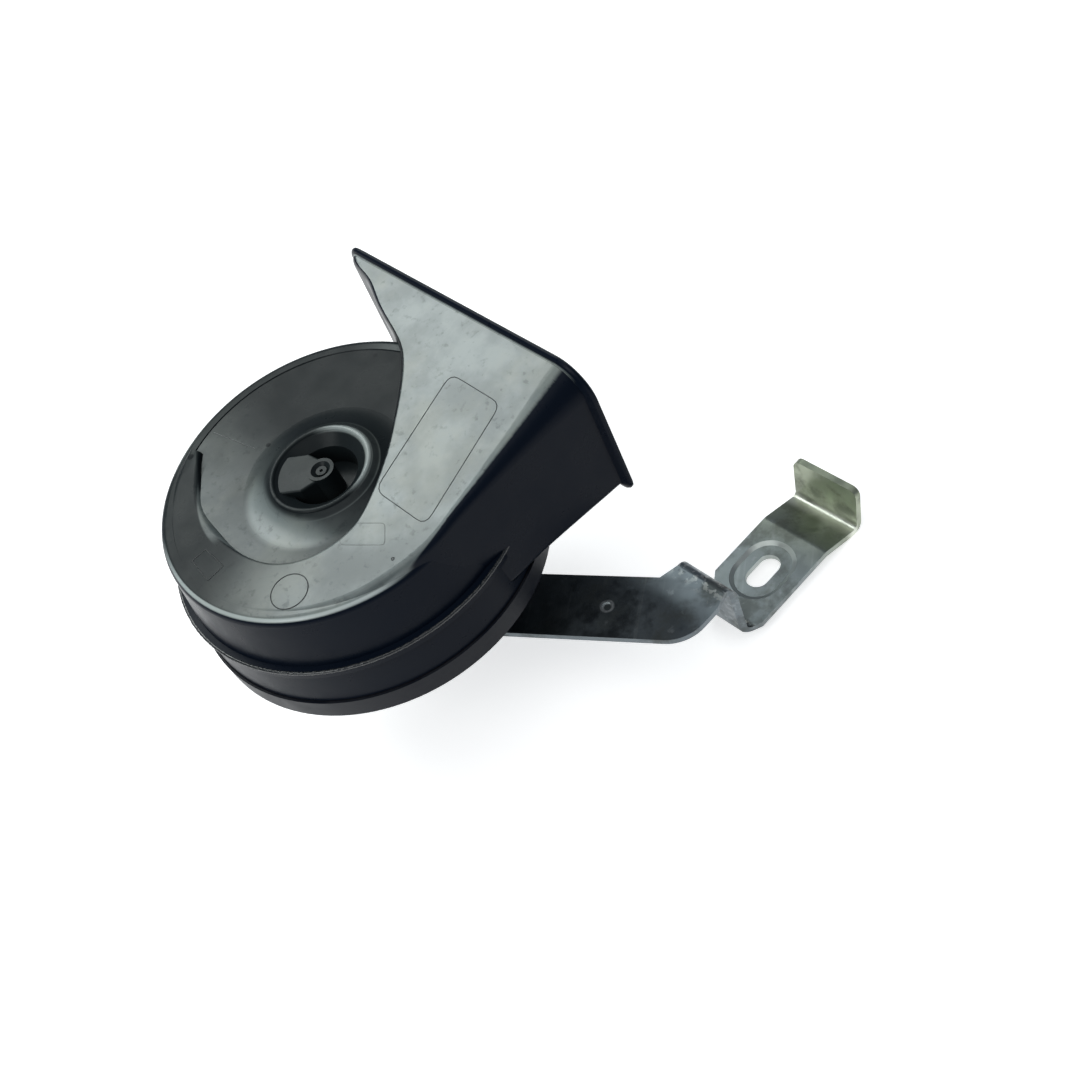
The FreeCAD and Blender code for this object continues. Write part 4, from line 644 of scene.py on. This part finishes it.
# %% Bracket zinc
DARKER_NEAR_HORN_EDGES, TAIL_SLANT, TAIL_EDGES = (52, 68), (1.0, 0.15), (66, 94)
CREST_RISE, CREST_FALL, CREST_SLOPE = (49.0, 55.5), (58.5, 60.0), (0.1, 0.6, 0.25, 1.0)
TROUGH_HIGHLIGHT_RISE, TROUGH_HIGHLIGHT_FALL = (97.8, 101.8), (102.6, 104.2)
SLOT_ROUND, OVAL_HIGHLIGHT_SLOPE = (75.0, -68.4, 11.2, 0.3), (0.93, 0.98, 1.0, 0.0)
DIMPLE, DIMPLE_OUTER, DIMPLE_INNER, DIMPLE_SOFTNESS = (32.5, -52.4), 1.9, 0.9, 0.4


def plating(tree, x, y):
    """Colour of the plating before wear: darker beside the horn, blue grey, olive, stained and
    scratched.
    """
    # darker beside the horn, blue grey further out
    base = mix_colour(tree, soft_edge(tree, x, *DARKER_NEAR_HORN_EDGES), rgb(0.15, 0.175, 0.19),
                      rgb(0.22, 0.25, 0.255))
    tail = soft_edge(tree, along(tree, x, y, *TAIL_SLANT), *TAIL_EDGES)
    base = tint(tree, base, tail, 1.0, (0.33, 0.365, 0.28))
    stains = use(tree, PATCHES, Scale=90.0, Detail=6.0, Low=0.46, High=0.64)
    base = tint(tree, base, stains, 0.55, (0.055, 0.058, 0.048))
    chalk = use(tree, PATCHES, Scale=230.0, Detail=8.0, Low=0.60, High=0.70)
    base = tint(tree, base, chalk, 0.3, (0.42, 0.46, 0.47))
    lines = use(tree, SCRATCHES, Scale=500.0, Stretch=0.05, Turn=-0.6, Sharpness=0.6)
    return tint(tree, base, lines, 0.12, (0.50, 0.53, 0.52))


def plating_wear_and_highlights(tree, base, x):
    """Chips and grime on the crest, and painted highlights on the fold, the oval wall and round
    the dimple.
    """
    up = facing_up(tree)
    crest = times(tree, between(tree, x, CREST_RISE, CREST_FALL), spread(tree, up, *CREST_SLOPE))
    chips = use(tree, PATCHES, Scale=430.0, Detail=8.0, Low=0.52, High=0.60)
    base = tint(tree, base, times(tree, crest, chips), 0.55, (0.50, 0.52, 0.50))
    grime = use(tree, PATCHES, Scale=260.0, Detail=8.0, Low=0.56, High=0.62)
    base = tint(tree, base, times(tree, crest, grime), 0.8, (0.03, 0.03, 0.028))
    # painted highlight along the fold at the tail
    trough_highlight = between(tree, x, TROUGH_HIGHLIGHT_RISE, TROUGH_HIGHLIGHT_FALL)
    base = tint(tree, base, trough_highlight, 0.8, (0.85, 0.88, 0.78))
    # painted highlight on the sloping wall of the pressed oval
    oval_wall_highlight = times(tree, spread(tree, up, *OVAL_HIGHLIGHT_SLOPE), round_mask(tree, *SLOT_ROUND))
    base = tint(tree, base, oval_wall_highlight, 0.75, (0.46, 0.50, 0.48))
    # painted highlight in a ring round the dimple
    outer = round_mask(tree, *DIMPLE, DIMPLE_OUTER, DIMPLE_SOFTNESS)
    inner = round_mask(tree, *DIMPLE, DIMPLE_INNER, DIMPLE_SOFTNESS)
    ring = times(tree, outer, calculate(tree, "SUBTRACT", 1.0, inner))
    return tint(tree, base, ring, 1.0, (0.50, 0.53, 0.54))


def make_bracket_zinc():
    finish, tree, shader = new_finish("bracket_zinc", Metallic=1.0)
    x, y = directions(tree)[:2]
    tree.links.new(plating_wear_and_highlights(tree, plating(tree, x, y), x), shader.inputs["Base Color"])
    rough = use(tree, PATCHES, Scale=180.0, Low=0.3, High=0.7)
    tree.links.new(mix_number(tree, rough, 0.30, 0.50), shader.inputs["Roughness"])
    bump(tree, shader, use(tree, GRAIN, Scale=700.0, Coarse_Scale=120.0), 0.3, 0.08)
    return finish


bracket_zinc = make_bracket_zinc()
dress(bracket_zinc, "mounting_bracket")
print("bracket:", bracket_zinc.name, "with", len(bracket_zinc.node_tree.nodes), "nodes")

# %% [markdown]
# The other finishes are simpler: two near colours, two near levels of gloss and a fine skin.
# The clamp ring and the can are pressed steel with black paint. The paint is satin, has the
# orange skin of a dipped part, and is a little dusty in patches.

# %% Black paint


def patchy_finish(name, dark, light, rough, scale, grain, **numbers):
    """Material whose colour and gloss drift between two values, with a fine skin."""
    finish, tree, shader = new_finish(name, **numbers)
    shade = use(tree, PATCHES, Scale=scale, Low=0.35, High=0.65)
    tree.links.new(mix_colour(tree, shade, rgb(*dark), rgb(*light)), shader.inputs["Base Color"])
    tree.links.new(mix_number(tree, shade, *rough), shader.inputs["Roughness"])
    bump(tree, shader, use(tree, GRAIN, Scale=grain, Coarse_Scale=grain / 4), 0.2, 0.06)
    return finish


black_paint = patchy_finish("black_paint", (0.006, 0.008, 0.014), (0.016, 0.018, 0.023),
                            (0.30, 0.44), 90.0, 520.0, Specular_IOR_Level=0.12)
dress(black_paint, "base_clamp_ring", "housing_can")
print("ring and can:", black_paint.name)

# %% [markdown]
# The inside is only seen when the horn is taken apart, but each piece still has its own
# finish. Nut, washer, screw and rivets are bright zinc. Core and armature are plated iron, the
# diaphragm is bare spring steel, the contact arms are bronze with silver contacts, and the
# blades are tinned. Rubber, nylon and the terminal block are matt. A table keeps them side by
# side, so that one can be compared with the next.

# %% Metals, rubber and plastics
# name, dark colour, light colour, roughness from and to, patch scale, grain scale, pieces
METALS = (
    ("fastener_zinc", (0.50, 0.49, 0.42), (0.66, 0.66, 0.62), (0.24, 0.38), 260.0, 900.0,
     ("bracket_nut", "lock_washer", "contact_rivet", "adjusting_screw", "terminal_rivets")),
    ("core_iron", (0.40, 0.40, 0.38), (0.55, 0.55, 0.53), (0.28, 0.42), 150.0, 800.0,
     ("pole_core", "armature", "armature_washer", "armature_rivet")),
    ("spring_steel", (0.38, 0.39, 0.41), (0.50, 0.51, 0.53), (0.22, 0.34), 110.0, 1200.0,
     ("diaphragm",)),
    ("contact_bronze", (0.58, 0.42, 0.20), (0.74, 0.58, 0.33), (0.24, 0.38), 220.0, 1100.0,
     ("fixed_contact_arm", "moving_contact_arm")),
    ("contact_silver", (0.70, 0.69, 0.66), (0.86, 0.85, 0.82), (0.22, 0.40), 500.0, 1500.0,
     ("fixed_contact", "moving_contact")),
    ("terminal_tin", (0.62, 0.61, 0.56), (0.76, 0.75, 0.71), (0.22, 0.36), 240.0, 1000.0,
     ("terminal_blade_left", "terminal_blade_right")))
MATT_PIECES = (
    ("seal_rubber", (0.012, 0.012, 0.013), (0.028, 0.028, 0.028), (0.70, 0.85), 200.0, 900.0,
     ("rear_gasket", "front_gasket")),
    ("bobbin_nylon", (0.56, 0.52, 0.40), (0.68, 0.64, 0.53), (0.38, 0.52), 90.0, 900.0,
     ("coil_bobbin",)),
    ("terminal_plastic", (0.014, 0.014, 0.016), (0.030, 0.030, 0.033), (0.50, 0.66), 160.0,
     1100.0, ("terminal_block",)))


def dress_rows(rows, **numbers):
    """Make the finish of each row, put it on the row's pieces and give all by name."""
    made = {}
    for name, dark, light, rough, scale, grain, pieces in rows:
        made[name] = patchy_finish(name, dark, light, rough, scale, grain, **numbers)
        dress(made[name], *pieces)
    return made


metals = dress_rows(METALS, Metallic=1.0)
matt_finishes = dress_rows(MATT_PIECES)
print("dressed with:", [*metals, *matt_finishes])

# %% [markdown]
# The winding shows its turns, and the insulating laminate shows its layers at the edge. Both
# are even stripes along Z, so one group named `bands` serves both: a sine of the height, with
# a little noise so that no line is ruler straight. The same stripes colour the surface and
# feed its Bump node. Modelled wire would cost many faces for a piece that no one sees.

# %% Winding and laminate


def make_bands():
    group, given, result = new_group(
        "bands", (("Pitch", 0.0005), ("Waver", 0.2)), (("Height", "NodeSocketFloat"),))
    noise = place(group, "ShaderNodeTexNoise", {
        "Vector": object_place(group), "Scale": 400.0, "Detail": 2.0})
    turns = calculate(group, "DIVIDE", directions(group)[2], given.outputs["Pitch"])
    shift = times(group, noise.outputs["Fac"], given.outputs["Waver"])
    phase = times(group, calculate(group, "ADD", turns, shift), 2 * math.pi)
    wave = calculate(group, "SINE", phase)
    group.links.new(spread(group, wave, -1.0, 1.0), result.inputs["Height"])
    return group


BANDS = make_bands()


def banded_finish(name, dark, light, pitch, waver, strength, **numbers):
    """Material with even stripes along Z in its colour and its height; pitch in mm."""
    finish, tree, shader = new_finish(name, **numbers)
    stripes = use(tree, BANDS, Pitch=pitch * MM, Waver=waver)
    tree.links.new(mix_colour(tree, stripes, rgb(*dark), rgb(*light)),
                   shader.inputs["Base Color"])
    bump(tree, shader, stripes, strength, 0.08)
    return finish


copper = banded_finish("copper_winding", (0.30, 0.12, 0.05), (0.78, 0.38, 0.18), 0.6, 0.15,
                       0.6, Metallic=0.9, Roughness=0.28, Coat_Weight=0.4)
laminate = banded_finish("contact_laminate", (0.10, 0.045, 0.02), (0.19, 0.09, 0.04), 0.2, 0.5,
                         0.15, Roughness=0.5)
dress(copper, "coil_winding")
dress(laminate, "contact_spacer", "contact_insulator", "contact_cap_insulator")
print("banded:", copper.name, laminate.name)

# %% [markdown]
# Thin raised lines, the rough bead of the weld and the thread of the stud all follow a path,
# so one Geometry Nodes group makes them all. It turns a path into a curve, sweeps a round
# section along it, roughens the surface with noise and sets the material.

# %% Geometry Nodes: follow a path
SECTION_SIDES = 8


def make_follow_path():
    group, given, result = new_group(
        "follow_path",
        (("Path", "NodeSocketGeometry"), ("Radius", 0.0002), ("Roughness", 0.0),
         ("Grit", 900.0), ("Finish", "NodeSocketMaterial")),
        (("Geometry", "NodeSocketGeometry"),), "GeometryNodeTree")
    curve = place(group, "GeometryNodeMeshToCurve", {"Mesh": given.outputs["Path"]})
    section = place(group, "GeometryNodeCurvePrimitiveCircle", {
        "Resolution": SECTION_SIDES, "Radius": given.outputs["Radius"]}, mode="RADIUS")
    sweep = place(group, "GeometryNodeCurveToMesh", {
        "Curve": curve.outputs["Curve"], "Profile Curve": section.outputs["Curve"],
        "Fill Caps": True})
    noise = place(group, "ShaderNodeTexNoise", {"Scale": given.outputs["Grit"], "Detail": 2.0})
    swell = times(group, calculate(group, "SUBTRACT", noise.outputs["Fac"], 0.5),
                  given.outputs["Roughness"])
    outward = place(group, "ShaderNodeVectorMath", {
        0: place(group, "GeometryNodeInputNormal").outputs["Normal"], "Scale": swell},
        operation="SCALE")
    rough = place(group, "GeometryNodeSetPosition", {
        "Geometry": sweep.outputs["Mesh"], "Offset": outward.outputs["Vector"]})
    smooth = place(group, "GeometryNodeSetShadeSmooth", {"Geometry": rough.outputs["Geometry"]})
    real = place(group, "GeometryNodeRealizeInstances", {
        "Geometry": smooth.outputs["Geometry"]})
    dressed = place(group, "GeometryNodeSetMaterial", {
        "Geometry": real.outputs["Geometry"], "Material": given.outputs["Finish"]})
    group.links.new(dressed.outputs["Geometry"], result.inputs["Geometry"])
    return group


FOLLOW_PATH = make_follow_path()
print("geometry group:", FOLLOW_PATH.name, "with", len(FOLLOW_PATH.nodes), "nodes")

# %% [markdown]
# The group needs a path, and a path is a mesh of points joined by edges. The modifier's inputs
# are set by their identifiers before the object is first evaluated. The result then becomes a
# plain mesh, because the frame's tools only know plain meshes. Every piece made here is fixed
# to the horn, so each one rides on that body.

# %% Sweep a piece


def follow_path(name, loops, closed, slot, **values):
    """Sweep a round section along point lists and keep the result as a plain mesh."""
    points, edges = [], []
    for loop in loops:
        first = len(points)
        points += loop
        edges += [(first + step, first + step + 1) for step in range(len(loop) - 1)]
        if closed:
            edges.append((len(points) - 1, first))
    path = bpy.data.meshes.new(name + "_path")
    path.from_pydata(points, edges, [])
    piece = bpy.data.objects.new(name, path)
    bpy.context.scene.collection.objects.link(piece)
    sweep = piece.modifiers.new("sweep", "NODES")
    sweep.node_group = FOLLOW_PATH
    for socket in FOLLOW_PATH.interface.items_tree:
        if socket.in_out == "INPUT" and socket.name in values:
            sweep[socket.identifier] = values[socket.name]
    piece.update_tag()
    seen = piece.evaluated_get(bpy.context.evaluated_depsgraph_get())
    plain = bpy.data.meshes.new_from_object(seen)
    piece.modifiers.remove(sweep)
    piece.data = plain
    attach(piece, "horn")
    print(name, "has", len(plain.polygons), "faces")


# %% [markdown]
# The two halves of the trumpet are welded together. The weld squeezed out a thin rough bead
# all the way round, up to where the bell covers it. Just under the rear half's edge, a dark line
# of painted shadow fills the gap where it sits in the clamp ring. Both are level arcs about the
# axis.

# %% Weld bead and painted seam shadow
WELD_HEIGHT, WELD_RADIUS, WELD_START, WELD_END, WELD_STEPS = 56.9, 49.90, 50, 296, 900
WELD_SECTION, WELD_ROUGHNESS = 0.58 * MM, 0.35 * MM
SEAM_HEIGHT, SEAM_RADIUS, SEAM_END, SEAM_STEPS = 42.95, 50.02, 359, 240
SEAM_SECTION, SEAM_ROUGHNESS = 0.16 * MM, 0.05 * MM


def arc_points(radius, height, start, end, steps):
    """Points on a level arc about the axis; angles in degrees, lengths in millimetres."""
    angles = [math.radians(start + (end - start) * step / steps) for step in range(steps + 1)]
    return [(radius * MM * math.cos(angle), radius * MM * math.sin(angle), height * MM)
            for angle in angles]


weld_flash = patchy_finish("weld_flash", (0.004, 0.006, 0.009), (0.022, 0.025, 0.027),
                           (0.14, 0.30), 900.0, 1500.0, Specular_IOR_Level=0.55)
shadow_black = patchy_finish("shadow_black", (0.002, 0.002, 0.003), (0.005, 0.005, 0.007),
                             (0.6, 0.8), 300.0, 900.0, Specular_IOR_Level=0.1)
weld_arc = arc_points(WELD_RADIUS, WELD_HEIGHT, WELD_START, WELD_END, WELD_STEPS)
follow_path("weld_bead", [weld_arc], False, "shell_plastic", Radius=WELD_SECTION,
            Roughness=WELD_ROUGHNESS, Grit=1100.0, Finish=weld_flash)
# painted shadow: a dark line in the gap under the rear half's edge
seam_round = arc_points(SEAM_RADIUS, SEAM_HEIGHT, 0, SEAM_END, SEAM_STEPS)
follow_path("seam_shadow", [seam_round], True, "shell_plastic", Radius=SEAM_SECTION,
            Roughness=SEAM_ROUGHNESS, Grit=300.0, Finish=shadow_black)

# %% [markdown]
# The face has bare moulded outlines. A rule of the ground plan gives each one's points: a
# round, or corners that are each rounded by a small arc. The points are then dropped onto the
# shell from above, so that each line lies on the real surface and half sinks into it.

# %% Lines that lie on the face
DROP_HEIGHT = 0.15
face_shell = nodes["trumpet_front_shell"]


def on_face(x, y):
    """The point of the face under (x, y), in metres; the input is in millimetres."""
    found, spot = face_shell.ray_cast(
        Vector((x * MM, y * MM, DROP_HEIGHT)), Vector((0, 0, -1)))[:2]
    if not found:
        raise ValueError(f"nothing under {x}, {y}")
    return tuple(spot)


def rounded_outline(corners, rounding, step=0.7):
    """Closed outline through corners, each one rounded by a small arc."""
    corners = [Vector(corner) for corner in corners]
    outline = []
    for index, corner in enumerate(corners):
        before = (corners[index - 1] - corner).normalized()
        after = (corners[(index + 1) % len(corners)] - corner).normalized()
        start, end = corner + before * rounding, corner + after * rounding
        for share in (0.0, 0.25, 0.5, 0.75, 1.0):
            outline.append(start.lerp(corner, share).lerp(corner.lerp(end, share), share))
    dense = []
    for index, point in enumerate(outline):
        following = outline[(index + 1) % len(outline)]
        count = max(1, round((following - point).length / step))
        dense += [point.lerp(following, part / count) for part in range(count)]
    return [on_face(point.x, point.y) for point in dense]


def round_outline(x, y, radius, steps=56):
    return [on_face(x + radius * math.cos(turn * 2 * math.pi / steps),
                    y + radius * math.sin(turn * 2 * math.pi / steps))
            for turn in range(steps)]


print("middle of the face at", round(on_face(0.0, 0.0)[2] / MM, 1), "mm")

# %% [markdown]
# There is a long frame on the slope, a round one and a small square one on the level ring, and
# a faint one between them. A tiny round is the mark that a mould's pin leaves. One pale
# scratch crosses the dish. The dark lines are painted groove shade, so that they read as
# grooves, and the two faint ones are grey.

# %% Moulded outlines and scratch
FRAME_CORNERS = ((3.2, -21.4), (38.4, -15.0), (38.2, -34.4), (3.2, -41.2))
SMALL_CORNERS = ((-34.6, 7.8), (-34.9, -1.1), (-40.2, -1.1), (-39.1, 8.1))
FAINT_CORNERS = ((-8.5, -19.8), (-2.0, -31.0), (-6.3, -35.6), (-12.8, -24.7))
SCRATCH_START, SCRATCH_RUN, SCRATCH_PARTS = (-8.9, 39.9), (3.6, -14.6), 20

# painted shade: near black, so that the raised lines read as shaded grooves
groove_shade_black = patchy_finish("groove_shade_black", (0.010, 0.013, 0.014), (0.05, 0.055, 0.054),
                              (0.35, 0.5), 400.0, 900.0)
outline_grey = patchy_finish("outline_grey", (0.09, 0.10, 0.098), (0.16, 0.172, 0.165),
                             (0.35, 0.5), 400.0, 900.0)
ring_and_pin_mark = [round_outline(-29.3, -23.2, 5.0), round_outline(-7.8, -40.4, 0.35, 16)]
OUTLINES = (
    ("frame_outline", [rounded_outline(FRAME_CORNERS, 3.2)], 0.12, groove_shade_black),
    ("round_outline", ring_and_pin_mark, 0.15, groove_shade_black),
    ("square_outline", [rounded_outline(SMALL_CORNERS, 0.4)], 0.12, groove_shade_black),
    ("faint_outline", [rounded_outline(FAINT_CORNERS, 1.2)], 0.07, outline_grey))
for outline_name, outline_loops, outline_radius, outline_finish in OUTLINES:
    follow_path(outline_name, outline_loops, True, "shell_plastic",
                Radius=outline_radius * MM, Finish=outline_finish)

scratch_line = [on_face(SCRATCH_START[0] + SCRATCH_RUN[0] * part / SCRATCH_PARTS,
                        SCRATCH_START[1] + SCRATCH_RUN[1] * part / SCRATCH_PARTS)
                for part in range(SCRATCH_PARTS + 1)]
follow_path("face_scratch", [scratch_line], False, "shell_plastic", Radius=0.09 * MM,
            Roughness=0.08 * MM, Grit=500.0, Finish=outline_grey)

# %% [markdown]
# The stud that carries the horn has an M8 thread. Its crests are a helix swept round the end
# that stands out of the nut. The solid keeps the plain rod, because a thread is a detail of
# the looks.

# %% Stud thread
THREAD_PITCH, THREAD_RADIUS, THREAD_LOW, THREAD_HIGH = 1.25, 3.86, 0.55, 2.9
THREAD_SECTION = 0.28 * MM


def helix(radius, low, high, pitch, steps=32):
    """Points on a helix about the axis, with so many steps to a turn."""
    count = round((high - low) / pitch * steps)
    return [(radius * MM * math.cos(turn * 2 * math.pi / steps),
             radius * MM * math.sin(turn * 2 * math.pi / steps),
             (low + pitch * turn / steps) * MM) for turn in range(count + 1)]


follow_path("stud_thread", [helix(THREAD_RADIUS, THREAD_LOW, THREAD_HIGH, THREAD_PITCH)],
            False, "core_iron", Radius=THREAD_SECTION, Finish=metals["fastener_zinc"])
